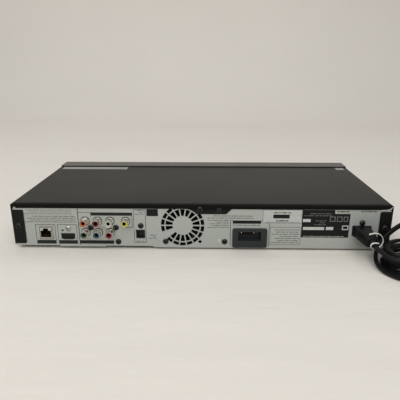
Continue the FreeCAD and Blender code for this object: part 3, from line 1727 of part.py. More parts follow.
def make_hdmi_jack():
    """Flat socket: a wide shell narrowing to its lower edge, with a tongue inside."""
    body = Body("hdmi_jack", x=s.hdmi_x)
    low = main_board_top
    face = panel_outer + s.hdmi_proud
    half, height = s.hdmi_width / 2, s.hdmi_height
    back = panel_inner - s.running_gap
    body.pad("XZ", face - 12, back, rectangle(-half, low, half, low + height + 1))

    def shell(inset):
        base, top = low + 0.6 + inset, low + 0.6 + height - inset
        edge = half - inset
        return outline(
            [
                (-edge + 2, base),
                (edge - 2, base),
                (edge, base + 2),
                (edge, top),
                (-edge, top),
                (-edge, base + 2),
            ]
        )

    body.pad("XZ", back, face, shell(0))
    body.pocket("XZ", face - 9, face, shell(0.6))
    tongue = rectangle(-half + 2.4, low + 3.2, half - 2.4, low + 4.5)
    body.pad("XZ", face - 9, face - 4.5, tongue)
    return node(body.item, "hdmi_jack")


def make_rca_block():
    """Moulded block that carries seven round sockets, with a boss for each one."""
    body = Body("rca_block")
    low, front = main_board_top, s.rca_block_front
    back = panel_inner
    right = s.rca_single_x - s.rca_boss_radius - 1
    left = s.rca_left_x + s.rca_boss_radius + 1
    top = s.rca_top_z + s.rca_boss_radius + 1
    body.pad("XZ", front, back, rectangle(right, low, left, top))
    bosses = [circle(x, z, s.rca_boss_radius) for x, z in RCA_PLACES]
    body.pad("XZ", back, panel_outer + s.rca_boss_proud, *bosses)
    holes = [circle(x, z, s.screw_shank + s.shaft_gap) for x, z in JACK_SCREWS]
    body.pocket("XZ", back - 9, back, *holes)
    return node(body.item, "rca_block")


def make_rca_sleeves():
    """Metal shells and coloured collars of the round sockets, on the bosses."""
    base = panel_outer + s.rca_boss_proud
    shells, collars = [], []
    for x, z in RCA_PLACES:
        inner = s.rca_shell_radius - s.rca_shell_wall
        outside = rod("shell_outside", "y", s.rca_shell_radius, base, back_y, x, z)
        inside = rod("shell_inside", "y", inner, base - 1, back_y + 1, x, z)
        shells.append(cut_from("rca_shell", outside, inside))
        insert = rod("collar_outside", "y", inner, base, back_y - s.rca_collar_inset, x, z)
        hole = rod("collar_hole", "y", s.rca_pin_radius, base + 0.6, back_y, x, z)
        collars.append(cut_from("rca_collar", insert, hole))
    node(group("rca_shells", *shells), "rca_shells")
    node(group("rca_collars", *collars), "rca_collars")


def make_optical_jack():
    """Square optical socket, open at the mouth, with bores for the flap's pivot."""
    body = Body("optical_jack", x=s.optical_x, z=s.optical_z)
    half = s.optical_size / 2
    face = panel_outer + s.optical_proud
    back = panel_inner - s.running_gap
    front = face - s.optical_depth - 4
    seat = rectangle(-half - 0.6, main_board_top - s.optical_z, half + 0.6, half + 0.4)
    body.pad("XZ", front, back, seat)
    body.pad("XZ", back, face, rectangle(-half, -half, half, half))
    inner = half - s.optical_wall
    body.pocket("XZ", face - s.optical_depth, face, rectangle(-inner, -inner, inner, inner))
    pivot_y, pivot_z = optical_pivot()
    bore = circle(pivot_y, pivot_z - s.optical_z, s.shutter_pivot_radius + s.shaft_gap)
    reach = inner + s.optical_wall * 0.6
    body.pocket("YZ", -reach, reach, bore)
    return node(body.item, "optical_jack")


def optical_pivot():
    inner = s.optical_size / 2 - s.optical_wall
    face = panel_outer + s.optical_proud
    return face - s.shutter_inset, s.optical_z + inner - s.shutter_drop


def make_optical_shutter():
    """Flap that hangs in the mouth and swings inward."""
    pivot_y, pivot_z = optical_pivot()
    body = Body("optical_shutter", x=s.optical_x, y=pivot_y, z=pivot_z)
    inner = s.optical_size / 2 - s.optical_wall
    w = inner - s.running_gap
    t = s.shutter_thickness
    height = s.optical_size - 2 * s.optical_wall - s.shutter_drop - s.running_gap
    body.pad("XZ", -t / 2, t / 2, rectangle(-w, -height, w, 0))
    body.pad("YZ", -w, w, circle(0, 0, s.shutter_barrel_radius))
    reach = inner + s.optical_wall * 0.6 - 0.1
    body.pad("YZ", -reach, reach, circle(0, 0, s.shutter_pivot_radius))
    return node(body.item, "optical_shutter")


def make_ext_bezel():
    """Moulded frame proud of the panel, with a deep recess for the expansion socket."""
    body = Body("ext_bezel")
    x, w = s.ext_x, s.ext_width / 2
    face = panel_outer + s.ext_proud
    body.pad("XZ", panel_outer, face, rounded(x - w, s.ext_bottom, x + w, s.ext_top, 2.5))
    wall = s.ext_wall
    left, right = s.ext_recess_left, s.ext_recess_right
    low, high = s.ext_recess_bottom, s.ext_recess_top
    back = face - s.ext_recess_depth
    box = rectangle(right - wall, low - wall, left + wall, high + wall)
    body.pad("XZ", back - wall, panel_outer, box)
    body.pocket("XZ", back, face, rectangle(right, low, left, high))
    half = s.ext_socket_width / 2 + s.socket_gap
    hole = rectangle(
        s.ext_socket_x - half,
        s.ext_socket_bottom - s.socket_gap,
        s.ext_socket_x + half,
        high,
    )
    body.pocket("XZ", back - wall, back, hole)
    return node(body.item, "ext_bezel")


def make_ext_socket():
    """Board socket whose nose fills the window in the recess."""
    body = Body("ext_socket", x=s.ext_socket_x)
    back = panel_outer + s.ext_proud - s.ext_recess_depth
    half = s.ext_socket_width / 2
    low = main_board_top
    top = s.ext_recess_top - s.socket_gap
    holder = rectangle(-half - 1, low, half + 1, top)
    body.pad("XZ", s.strip_board_front + 3, back - s.ext_wall - 0.3, holder)
    body.pad("XZ", back - s.ext_wall - 0.3, back + 2, rectangle(-half, s.ext_socket_bottom, half, top))
    mouth = rectangle(-half + 1, s.ext_socket_bottom + 1.1, half - 1, top - 1.1)
    body.pocket("XZ", back - 3, back + 2, mouth)
    middle = (s.ext_socket_bottom + top) / 2
    body.pad("XZ", back - 3, back + 1, rectangle(-half + 2, middle - 0.5, half - 2, middle + 0.5))
    return node(body.item, "ext_socket")


def make_ac_inlet():
    """Two-pin inlet: a body on the power board and a nose through the panel."""
    body = Body("ac_inlet", x=s.inlet_x, z=s.inlet_z)
    half, rise = s.inlet_width / 2, s.inlet_height / 2
    depth, back = s.inlet_cavity_depth, panel_inner - s.running_gap
    low = power_board_top - s.inlet_z
    rear = inlet_face - depth - 2.2
    body.pad("XZ", rear, back, rectangle(-half - 2, low, half + 2, rise + 1))
    body.pad("XZ", back, inlet_face, rounded(-half, -rise, half, rise, 2.0))
    r = s.inlet_cavity_height / 2
    reach = s.inlet_cavity_width / 2 - r
    body.pocket("XZ", inlet_face - depth, inlet_face, loop_round(-reach, 0, r, reach, 0, r))
    pins = [circle(side * s.inlet_pin_spacing / 2, 0, s.inlet_pin_radius) for side in (-1, 1)]
    body.pad("XZ", inlet_face - depth, inlet_face - 2.5, *pins)
    return node(body.item, "ac_inlet")


# Fan


def make_fan_frame():
    """Square frame with a round duct, behind the grille."""
    body = Body("fan_frame", x=s.fan_x, z=s.fan_z)
    half = s.fan_size / 2
    y1 = panel_inner
    y0 = y1 - s.fan_depth
    body.pad("XZ", y0, y1, rounded(-half, -half, half, half, 3.0))
    duct = circle(0, 0, s.rotor_tip_radius + 0.9)
    body.pocket("XZ", y0, y1, duct)
    spoke = body.pad("XZ", y0, y0 + 1.5, rectangle(s.rotor_hub_radius - 1, -1.2, half - 0.5, 1.2))
    body.round_copies(spoke, 4)
    body.pad("XZ", y0, y0 + 1.5, circle(0, 0, s.rotor_hub_radius))
    body.pad("XZ", y0 + 1.5, y0 + 6, circle(0, 0, s.fan_pin_radius))
    o = s.fan_hole_offset
    hole = s.screw_shank + s.shaft_gap
    body.pocket("XZ", y0, y1, *[circle(a * o, b * o, hole) for a in (-1, 1) for b in (-1, 1)])
    return node(body.item, "fan_frame")


def make_fan_rotor():
    """Hub with seven twisted blades on the frame's pin."""
    body = Body("fan_rotor", x=s.fan_x, z=s.fan_z)
    start = panel_inner - s.fan_depth + 1.5 + s.running_gap
    end = start + s.rotor_hub_depth
    body.pad("XZ", start, end, circle(0, 0, s.rotor_hub_radius))
    half = s.rotor_blade_thickness / 2
    inner, outer = s.rotor_hub_radius - 1, s.rotor_tip_radius

    def blade(angle):
        a = radians(angle)
        corners = [(inner, -half), (outer, -half), (outer, half), (inner, half)]
        return outline([(r * cos(a) - t * sin(a), r * sin(a) + t * cos(a)) for r, t in corners])

    loft = body.loft([(start + 0.4, blade(-13)), (end - 0.4, blade(13))], "XZ")
    body.round_copies(loft, ROTOR_BLADES)
    body.pocket("XZ", start, start + 4.6, circle(0, 0, s.fan_pin_radius + s.shaft_gap))
    return node(body.item, "fan_rotor")


# Screws and ribbons


def screw(name, axis, head_radius, head, shank, reach, seat, across, up):
    """A cap on a plain shank. The head stands on the seat and the shank reaches below it."""
    cap = rod(f"{name}_head", axis, head_radius, seat, seat + head, across, up)
    stem = rod(f"{name}_shank", axis, shank, seat - reach, seat, across, up)
    return fused(name, cap, stem)


def make_screws():
    """Fasteners in three groups: the cover's, the rear panel's and the boards'."""
    shank, head = s.screw_shank, s.screw_head_height
    case = [
        screw("case_screw", "y", s.case_screw_head, head, shank, 4, cover_back, x, z)
        for x, z in CASE_SCREWS
    ]
    node(group("case_screws", *case), "case_screws")
    panel = [
        screw("panel_screw", "y", s.panel_screw_head, head, shank, 5, panel_outer, x, z)
        for x, z in PANEL_SCREWS
    ]
    short = [
        screw("short_screw", "y", s.panel_screw_head, head, shank, 1.9, panel_outer, x, z)
        for x, z in BLOCK_SCREWS
    ]
    dome = screw("ground_screw", "y", 3.4, 2.4, shank, 5, panel_outer, *GROUND_SCREW)
    node(group("panel_screws", *panel, *short, dome), "panel_screws")
    boards = []
    for holes, seat in ((MAIN_BOARD_HOLES, main_board_top), (POWER_BOARD_HOLES, power_board_top)):
        for x, y in holes:
            boards.append(screw("board_screw", "z", 2.6, 1.6, s.board_screw_radius, 5, seat, x, y))
    node(group("board_screws", *boards), "board_screws")


def make_ribbon_cables():
    """Two flat ribbons: main board to display board, and power board to main board."""
    t = 0.4
    display = Body("display_ribbon")
    start, low, high = s.main_board_front + 2, main_board_top, s.front_wall_top + 5
    wall = s.display_board_y + s.board_thickness
    lower = [(start + 4, low), (start, low), (start, low + 3), (start - 20, high), (wall, high)]
    upper = [(wall, high + t), (start - 20, high + t), (start + t, low + 3 + t), (start + 4, low + t)]
    display.pad("YZ", s.main_board_left + 14, s.main_board_left + 36, outline(lower + upper))
    power = Body("power_ribbon")
    left, right = s.power_board_right - 6, s.strip_board_left + 0.8
    base, top = power_board_top, power_board_top + 7
    path = [(left, base), (left + 6, top), (right - 6, top), (right, main_board_top)]
    back = [(x, z + t) for x, z in reversed(path)]
    ends = [(left - 3, base), *path, (right + 3, main_board_top), (right + 3, main_board_top + t)]
    y0 = s.strip_board_front + 5
    power.pad("XZ", y0, y0 + 9, outline(ends + back + [(left - 3, base + t)]))
    return node(group("ribbon_cables", display.item, power.item), "ribbon_cables")


# Mains lead


def make_power_connector():
    """Plug in the inlet: nose with two bores, tapering body and strain relief."""
    body = Body("power_connector", x=s.inlet_x, z=s.inlet_z)
    gap = s.plug_gap
    r = s.inlet_cavity_height / 2 - gap
    reach = s.inlet_cavity_width / 2 - s.inlet_cavity_height / 2
    nose = inlet_face - s.inlet_cavity_depth + 0.8
    body.pad("XZ", nose, inlet_face, loop_round(-reach, 0, r, reach, 0, r))
    bores = [
        circle(side * s.inlet_pin_spacing / 2, 0, s.inlet_pin_radius + gap) for side in (-1, 1)
    ]
    body.pocket("XZ", nose, inlet_face - 1, *bores)
    end = inlet_face + s.plug_body_length
    neck = s.plug_neck_radius
    sections = [
        (inlet_face, 9.3, 6.0, 2.5),
        (end - 9, 8.0, 6.2, 4.0),
        (end - 1, 6.9, 5.9, 4.6),
        (end, 6.0, 5.0, 4.2),
        (end + 0.5, neck, neck, neck - 0.2),
        (plug_end, neck - 0.3, neck - 0.3, neck - 0.5),
    ]
    for near, far in zip(sections, sections[1:]):
        body.loft(
            [(y, rounded(-half, -rise, half, rise, corner)) for y, half, rise, corner in (near, far)],
            "XZ",
        )
    return node(body.item, "power_connector")


def make_mains_plug():
    """Two-blade wall plug lying on the table."""
    body = Body("mains_plug", x=s.mains_plug_x, z=s.mains_plug_height / 2)
    end = s.tail_end_y
    front = end - 8
    back = front - s.mains_plug_length
    half, rise = s.mains_plug_width / 2, s.mains_plug_height / 2
    sections = [(end, 3.2, 3.2), (front, 4.6, 4.2), (front - 8, half, rise), (back, half - 1, rise)]
    for near, far in zip(sections, sections[1:]):
        body.loft([(y, rounded(-w, -h, w, h, 1.8)) for y, w, h in (far, near)], "XZ")
    for side in (-1, 1):
        x = side * 6.35
        body.pad("XZ", back - 17, back, rectangle(x - 0.75, -3.2, x + 0.75, 3.2))
    return node(body.item, "mains_plug")


def smooth(fraction):
    fraction = min(1, max(0, fraction))
    return fraction * fraction * (3 - 2 * fraction)


def coil_point(turns):
    """A point of the coil's centre line. It winds in and out in layers from the top down,
    and its last turn on the floor opens out and lifts on the far side."""
    wound = COIL_LAYERS * TURNS_PER_LAYER
    layer = min(turns / TURNS_PER_LAYER, COIL_LAYERS)
    pitch = float(s.coil_pitch)
    phase = layer % 2
    inward = phase if phase < 1 else 2 - phase
    if turns > wound:
        inward = 0
    radius = float(s.coil_radius) - pitch * TURNS_PER_LAYER * inward
    level = COIL_LAYERS - 1
    for change in range(1, COIL_LAYERS):
        level -= smooth((turns - change * TURNS_PER_LAYER) * 2 + 0.5)
    height = float(s.cord_floor) + pitch * level
    if turns > wound:
        past = (turns - wound) * 360
        radius += (float(s.loose_radius) - float(s.coil_radius)) * smooth(past / 90)
        wave = past / 310 if past < 155 else min(0.5 + (past - 155) / 360, 1)
        height += float(s.loose_lift) * ((1 - cos(2 * pi * wave)) / 2) ** 1.92
    angle = radians(float(s.coil_start) + turns * 360)
    return Vector(
        float(s.coil_x) + radius * cos(angle), float(s.coil_y) + radius * sin(angle), height
    )


def coil_heading(turns):
    step = 1e-3
    return (coil_point(turns + step) - coil_point(turns - step)).normalize()


def two_arcs(start, heading, end, end_heading):
    """A pair of arcs that joins two points and keeps both headings."""
    span = end - start
    both = heading + end_heading
    a = 2 * (1 - heading.dot(end_heading))
    b = 2 * span.dot(both)
    if abs(a) < 1e-9:
        reach = span.dot(span) / (4 * span.dot(end_heading))
    else:
        reach = (-b + sqrt(b * b + 4 * a * span.dot(span))) / (2 * a)
    first, last = start + heading * reach, end - end_heading * reach
    middle = (first + last) / 2
    edges = []
    for near, corner, far in ((start, first, middle), (middle, last, end)):
        bow = (near + far) / 2 - corner
        half = (far - near).Length / 2
        if bow.Length < 1e-6:
            edges.append(Part.LineSegment(near, far).toShape())
            continue
        radius = (corner - near).Length * half / bow.Length
        centre = corner + bow.normalize() * sqrt(radius**2 + (corner - near).Length ** 2)
        toward = (corner - centre).normalize()
        edges.append(Part.Arc(near, centre + toward * radius, far).toShape())
    return edges


def rounded_route(points, name):
    """Straight runs joined by tangent arcs, each of 0.45 of the shorter run."""
    edges = []
    start = points[0]
    for before, corner, after in zip(points, points[1:], points[2:]):
        into, out = (corner - before), (after - corner)
        turn = into.getAngle(out)
        trim = 0.45 * min(into.Length, out.Length)
        near = corner - into.normalize() * trim
        far = corner + out.normalize() * trim
        radius = trim / tan(turn / 2)
        toward = ((near + far) / 2 - corner).normalize()
        centre = corner + toward * (trim / sin(turn / 2))
        edges.append(Part.LineSegment(start, near).toShape())
        edges.append(Part.Arc(near, centre - toward * radius, far).toShape())
        start = far
        print(name, "bend radius", round(radius, 1))
    edges.append(Part.LineSegment(start, points[-1]).toShape())
    return edges


def tube(edges, label):
    """Sweeps the cord's round section along a route."""
    path = Part.Wire(edges)
    start, heading = path.OrderedEdges[0].valueAt(0), path.OrderedEdges[0].tangentAt(0)
    radius = float(s.cord_diameter) / 2
    section = Part.Wire(Part.Circle(start, heading, radius).toShape())
    swept = path.makePipeShell([section], True, False)
    expected = pi * radius**2 * path.Length
    print(label, "length", round(path.Length, 1), "volume ratio", round(swept.Volume / expected, 3))
    feature = doc.addObject("Part::Feature", label)
    feature.Shape = swept
    node(feature, label)
    return path.Length


def make_cord():
    """The lead from the connector, the coil with its loose turn, and the tail to the plug."""
    x, y, z = float(s.inlet_x), float(plug_end), float(s.inlet_z)
    first = coil_point(0) - coil_heading(0.01) * float(s.cord_joint_gap)
    lead = [
        Vector(x, y, z),
        Vector(x, y + float(s.lead_straight), z),
        Vector(x - float(s.lead_side), y + float(s.lead_reach), first.z),
        first,
    ]
    total = tube(rounded_route(lead, "cord_lead"), "cord_lead")
    turns = COIL_LAYERS * TURNS_PER_LAYER + 1
    count = int(turns * 8)
    edges = []
    stations = [turns * k / count for k in range(count + 1)]
    for a, b in zip(stations, stations[1:]):
        edges += two_arcs(coil_point(a), coil_heading(a), coil_point(b), coil_heading(b))
    total += tube(edges, "cord_hank")
    last, way = coil_point(turns), coil_heading(turns)
    bend = last + Vector(way.x, way.y, 0).normalize() * 34
    plug_x, plug_z = float(s.mains_plug_x), float(s.mains_plug_height) / 2
    tail = [
        last,
        bend,
        Vector(plug_x + 12, bend.y - 16, last.z),
        Vector(plug_x, bend.y - 52, plug_z),
        Vector(plug_x, float(s.tail_end_y), plug_z),
    ]
    total += tube(rounded_route(tail, "cord_tail"), "cord_tail")
    print("cord length", round(total, 1))
    report_coil_gap(turns)


def report_coil_gap(turns):
    """Prints the least gap between strands of the coil that lie more than a bend apart."""
    count = int(turns * 60)
    line = [coil_point(turns * k / count) for k in range(count + 1)]
    least = min(
        (a - b).Length for i, a in enumerate(line) for b in line[i + 15 :]
    )
    print("coil least gap", round(least - float(s.cord_diameter), 2))


def make_cord_tie():
    """White twist tie round the end of the connector, with its two twisted tails."""
    x, y, z = s.inlet_x, inlet_face + s.plug_body_length - s.tie_inset, s.inlet_z
    body = Body("cord_tie", x=x, z=z)
    outer = s.tie_radius + s.tie_thickness
    ring = (circle(0, 0, outer), circle(0, 0, s.tie_radius))
    body.pad("XZ", y, y + s.tie_width, *ring)
    tails = rectangle(-0.6, -outer - 7, 0.6, -s.tie_radius - 0.1)
    body.pad("XZ", y + 0.6, y + s.tie_width - 0.6, tails)
    return node(body.item, "cord_tie")


MAKERS = [
    make_bottom_chassis,
    make_rear_panel,
    make_top_cover,
    make_front_bezel,
    make_display_window,
    make_buttons,
    make_feet,
    make_disc_tray,
    make_tray_door,
    make_loader_chassis,
    make_clamp_bridge,
    make_disc_clamp,
    make_traverse_base,
    make_damper_bushes,
    make_spindle_motor,
    make_turntable,
    make_optical_pickup,
    make_pickup_lens,
    make_drive_shafts,
    make_sled_motor,
    make_cam_slider,
    make_tray_gear,
    make_pulley_gear,
    make_motor_pulley,
    make_loading_motor,
    make_loading_belt,
    make_main_board,
    make_main_heatsink,
    make_power_board,
    make_transformer,
    make_capacitors,
    make_display_parts,
    make_lan_jack,
    make_hdmi_jack,
    make_rca_block,
    make_rca_sleeves,
    make_optical_jack,
    make_optical_shutter,
    make_ext_bezel,
    make_ext_socket,
    make_ac_inlet,
    make_fan_frame,
    make_fan_rotor,
    make_screws,
    make_ribbon_cables,
    make_power_connector,
    make_cord,
    make_cord_tie,
    make_mains_plug,
]

for make in MAKERS:
    make()
doc.recompute()

os.makedirs("parts", exist_ok=True)
for item in doc.Objects:
    problems = [state for state in item.State if state in ("Invalid", "Error")]
    if problems:
        raise RuntimeError(f"{item.Label} has state {problems}")
for item in nodes:
    if item.Shape.isNull() or not item.Shape.isValid():
        raise RuntimeError(f"{item.Label} has no sound shape")
    item.Shape.exportStep(f"parts/{item.Label}.step")
print("exported", len(nodes), "parts")
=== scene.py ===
from math import cos, pi, radians, sin

import bmesh
import bpy
from mathutils import Matrix, Vector


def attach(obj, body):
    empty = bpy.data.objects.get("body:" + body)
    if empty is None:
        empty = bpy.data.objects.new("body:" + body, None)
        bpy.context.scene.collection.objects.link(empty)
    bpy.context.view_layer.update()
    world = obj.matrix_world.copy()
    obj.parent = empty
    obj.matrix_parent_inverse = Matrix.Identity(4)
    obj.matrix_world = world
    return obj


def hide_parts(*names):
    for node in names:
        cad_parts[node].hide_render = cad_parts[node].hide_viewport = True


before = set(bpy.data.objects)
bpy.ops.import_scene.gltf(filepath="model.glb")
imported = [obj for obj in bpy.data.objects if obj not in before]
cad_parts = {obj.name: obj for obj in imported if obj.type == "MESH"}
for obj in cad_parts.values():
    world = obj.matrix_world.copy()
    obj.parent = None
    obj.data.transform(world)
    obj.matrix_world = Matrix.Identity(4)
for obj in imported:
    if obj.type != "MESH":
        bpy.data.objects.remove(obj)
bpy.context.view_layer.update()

# Chassis and rear panel: zinc-coated steel sheet, folded and punched. The panel is
# painted a thin satin grey, and the chassis under it is left as the sheet comes.
MM = 0.001


class Wire:
    """One output of a material's nodes. Arithmetic on it adds Math nodes."""

    def __init__(self, finish, socket):
        self.finish = finish
        self.socket = socket

    def math(self, operation, first, second=0.0):
        return self.finish.node("ShaderNodeMath", {"operation": operation}, {0: first, 1: second})

    def __add__(self, other):
        return self.math("ADD", self, other)

    def __sub__(self, other):
        return self.math("SUBTRACT", self, other)

    def __rsub__(self, other):
        return self.math("SUBTRACT", other, self)

    def __mul__(self, other):
        return self.math("MULTIPLY", self, other)

    def __gt__(self, other):
        return self.math("GREATER_THAN", self, other)

    def __lt__(self, other):
        return self.math("LESS_THAN", self, other)


class Finish:
    """A material in the making: fixed values go on the surface, Wires vary over it."""

    def __init__(self, name, colour, roughness, metallic=0.0, **fixed):
        self.material = bpy.data.materials.new(name)
        self.material.use_nodes = True
        self.tree = self.material.node_tree
        self.surface = self.tree.nodes["Principled BSDF"]
        self.colour = colour
        self.set("Base Color", colour)
        self.set("Roughness", roughness)
        self.set("Metallic", metallic)
        for socket, value in fixed.items():
            self.set(socket.replace("_", " "), value)
        self.place = self.node("ShaderNodeTexCoord", output="Object")

    def feed(self, socket, value):
        if isinstance(value, Wire):
            self.tree.links.new(value.socket, socket)
        elif isinstance(value, tuple) and len(socket.default_value) == 4:
            socket.default_value = (*value, 1)
        else:
            socket.default_value = value

    def set(self, socket, value):
        self.feed(self.surface.inputs[socket], value)

    def node(self, kind, settings=None, inputs=None, output=0):
        node = self.tree.nodes.new(kind)
        for name, value in (settings or {}).items():
            setattr(node, name, value)
        for key, value in (inputs or {}).items():
            self.feed(node.inputs[key], value)
        return Wire(self, node.outputs[output])

    def noise(self, scale, detail=3.0, stretch=(1.0, 1.0, 1.0)):
        place = self.node("ShaderNodeMapping", None, {"Vector": self.place, "Scale": stretch})
        return self.node(
            "ShaderNodeTexNoise", None, {"Vector": place, "Scale": scale, "Detail": detail}
        )

    def axis(self, name):
        """Where a point lies along X, Y or Z, in millimetres."""
        place = self.node("ShaderNodeSeparateXYZ", None, {"Vector": self.place}, name)
        return place * 1000.0

    def mix(self, amount, first, second):
        return self.node(
            "ShaderNodeMix", {"data_type": "RGBA"}, {0: amount, 6: first, 7: second}, 2
        )

    def shades(self, amount, darker, lighter):
        """The finish's colour, a little darker and lighter as amount changes."""
        low = tuple(channel * darker for channel in self.colour)
        high = tuple(channel * lighter for channel in self.colour)
        return self.mix(amount, low, high)

    def bump(self, height, strength, depth):
        normal = self.node(
            "ShaderNodeBump",
            None,
            {"Height": height, "Strength": strength, "Distance": depth * MM},
            "Normal",
        )
        self.set("Normal", normal)


def dress(material, *names):
    """Gives a material to CAD nodes."""
    for name in names:
        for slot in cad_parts[name].material_slots:
            slot.material = material


def rear_panel_finish():
    finish = Finish("rear_panel_paint", (0.4, 0.428, 0.405), 0.4, 0.35)
    spangle = finish.node(
        "ShaderNodeTexVoronoi", None, {"Vector": finish.place, "Scale": 420.0}, "Distance"
    )
    drift = finish.noise(9.0, 4.0)
    finish.set("Base Color", finish.shades(drift * 0.7 + spangle * 0.3, 0.93, 1.07))
    finish.set("Roughness", spangle * 0.1 + drift * 0.08 + 0.33)
    finish.bump(spangle, 0.06, 0.05)
    return finish.material


def bare_zinc_finish():
    finish = Finish("bare_zinc", (0.5, 0.51, 0.5), 0.42, 0.9)
    spangle = finish.node(
        "ShaderNodeTexVoronoi", None, {"Vector": finish.place, "Scale": 95.0}, "Color"
    )
    brightness = finish.node("ShaderNodeSeparateColor", None, {"Color": spangle})
    finish.set("Base Color", finish.shades(brightness, 0.85, 1.1))
    finish.set("Roughness", brightness * 0.16 + finish.noise(60.0, 4.0) * 0.1 + 0.26)
    return finish.material


panel_paint = rear_panel_finish()
bare_zinc = bare_zinc_finish()
dress(panel_paint, "rear_panel")
dress(bare_zinc, "bottom_chassis", "clamp_bridge", "traverse_base")

# Printing on the rear panel: screen-printed boxes round the sockets, dark strips where
# their names would be, and a black rating plate, all left without words. The same piece holds
# black painted shade for a small hole and for the gap round the video socket.
PANEL = 99.7
INK = 0.05
POINT_RADIUS = 0.0001


class Piece:
    """A mesh in the making, written in millimetres and placed where the CAD has it."""

    def __init__(self, name):
        self.name = name
        self.mesh = bmesh.new()
        self.materials = []

    def skin(self, points, faces, material, smooth=False):
        if material not in self.materials:
            self.materials.append(material)
        corners = [self.mesh.verts.new(point) for point in points]
        for face in faces:
            made = self.mesh.faces.new([corners[index] for index in face])
            made.material_index = self.materials.index(material)
            made.smooth = smooth

    def rings(self, rings, material, smooth=False):
        """A closed skin through rings of points, each with the same count."""
        count = len(rings[0])
        points = [point for ring in rings for point in ring]
        last = len(points) - count
        faces = [list(range(count))[::-1], list(range(last, len(points)))]
        for low in range(0, last, count):
            for index in range(count):
                after = (index + 1) % count
                faces.append([low + index, low + after, low + count + after, low + count + index])
        self.skin(points, faces, material, smooth)

    def plate(self, outline, back, front, material, edge=0.0):
        """An X, Z outline raised from back to front along Y, with a softened front edge."""
        way = 1 if front > back else -1
        steps = [(back, 0.0), (front, 0.0)]
        if edge:
            steps = [(back, 0.0), (front - way * edge, 0.0)]
            steps += [(front - way * edge * 0.3, edge * 0.3), (front, edge)]
        rings = []
        for y, inset in steps:
            ring = inward(outline, inset) if inset else outline
            rings.append([(x, y, z) for x, z in ring])
        self.rings(rings, material)

    def turned(self, profile, x, z, material, sides=40):
        """Radius and Y points turned round the line along Y through x and z."""
        rings = []
        for radius, y in profile:
            reach = max(radius, POINT_RADIUS)
            turns = [2 * pi * side / sides for side in range(sides)]
            rings.append([(x + reach * cos(turn), y, z + reach * sin(turn)) for turn in turns])
        self.rings(rings, material, True)

    def finish(self, body, slot, sharp=35):
        bmesh.ops.remove_doubles(self.mesh, verts=self.mesh.verts, dist=0.0008)
        bmesh.ops.dissolve_degenerate(self.mesh, edges=self.mesh.edges, dist=0.0005)
        bmesh.ops.recalc_face_normals(self.mesh, faces=self.mesh.faces)
        bmesh.ops.scale(self.mesh, vec=(MM, MM, MM), verts=self.mesh.verts)
        data = bpy.data.meshes.new(self.name)
        self.mesh.to_mesh(data)
        self.mesh.free()
        for material in self.materials:
            data.materials.append(material)
        data.set_sharp_from_angle(angle=radians(sharp))
        return place(bpy.data.objects.new(self.name, data), body, slot)


def place(piece, body, slot):
    bpy.context.scene.collection.objects.link(piece)
    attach(piece, body)
    return piece


def inward(outline, inset):
    """An outline moved in by inset, corner by corner."""
    count = len(outline)
    twice = sum(
        outline[i - 1][0] * outline[i][1] - outline[i][0] * outline[i - 1][1] for i in range(count)
    )
    side = 1 if twice > 0 else -1
    moved = []
    for index in range(count):
        here = Vector(outline[index])
        before = (here - Vector(outline[index - 1])).normalized()
        after = (Vector(outline[(index + 1) % count]) - here).normalized()
        normal = Vector((-before.y - after.y, before.x + after.x)).normalized() * side
        slope = max(0.4, abs(normal.dot(Vector((-after.y, after.x)))))
        moved.append(tuple(here + normal * (inset / slope)))
    return moved


def oblong(left, bottom, right, top, corner=0.0, steps=5):
    """An upright rectangle, with rounded corners where a radius is given."""
    if not corner:
        return [(left, bottom), (right, bottom), (right, top), (left, top)]
    points = []
    centres = [(right - corner, bottom + corner, -90), (right - corner, top - corner, 0)]
    centres += [(left + corner, top - corner, 90), (left + corner, bottom + corner, 180)]
    for x, z, start in centres:
        for step in range(steps + 1):
            angle = radians(start + 90 * step / steps)
            points.append((x + corner * cos(angle), z + corner * sin(angle)))
    return points


def ink_finish(name, colour, roughness=0.5):
    finish = Finish(name, colour, roughness, IOR=1.28)
    cover = finish.noise(240.0, 4.0)
    finish.set("Base Color", finish.shades(cover, 0.8, 1.2))
    finish.set("Roughness", cover * 0.2 + roughness - 0.1)
    return finish.material


dark_ink = ink_finish("dark_ink", (0.016, 0.018, 0.018))
grey_ink = ink_finish("grey_ink", (0.11, 0.12, 0.115))
# Black for print, and also for painted shade in holes and gaps.
black_ink = ink_finish("black_ink", (0.006, 0.007, 0.007), 0.4)
white_ink = ink_finish("white_ink", (0.5, 0.51, 0.49))

print_and_shade = Piece("panel_printing")
DASHES = (3.4, 6.2, 2.2, 4.8, 7.4)
DASH_GAP = 0.9
SHORTEST_DASH = 1.5
ROW_INDENT = 1.3
ROW_ENDS = (0.0, 5.0, 2.0, 9.0)


def bar(left, bottom, right, top, ink=dark_ink, level=0):
    print_and_shade.plate(
        oblong(left, bottom, right, top), PANEL + level * INK, PANEL + (level + 1) * INK, ink
    )


def border(left, bottom, right, top, line):
    """The four bars of a frame, each as left, bottom, right and top."""
    return [
        (left, bottom, left + line, top),
        (right - line, bottom, right, top),
        (left + line, bottom, right - line, bottom + line),
        (left + line, top - line, right - line, top),
    ]


def lined_box(left, bottom, right, top, ink=dark_ink, line=0.5, level=0):
    for side in border(left, bottom, right, top, line):
        bar(*side, ink, level)


def dot(x, z, radius, ink):
    profile = [(0.0, PANEL + INK), (radius, PANEL + INK), (radius, PANEL), (0.0, PANEL)]
    print_and_shade.turned(profile, x, z, ink, 20)


def broken_rows(left, bottom, right, rows, pitch, ink=grey_ink, thick=0.5, level=0):
    """Plain dashes in rows, for the blocks of small print that the panel leaves out."""
    for row in range(rows):
        at, index, low = left + ROW_INDENT * (row % 2), row, bottom + row * pitch
        end = right - ROW_ENDS[row % len(ROW_ENDS)]
        while at < end - SHORTEST_DASH:
            dash = min(DASHES[index % len(DASHES)], end - at)
            bar(at, low, at + dash, low + thick, ink, level)
            at += dash + DASH_GAP
            index += 1


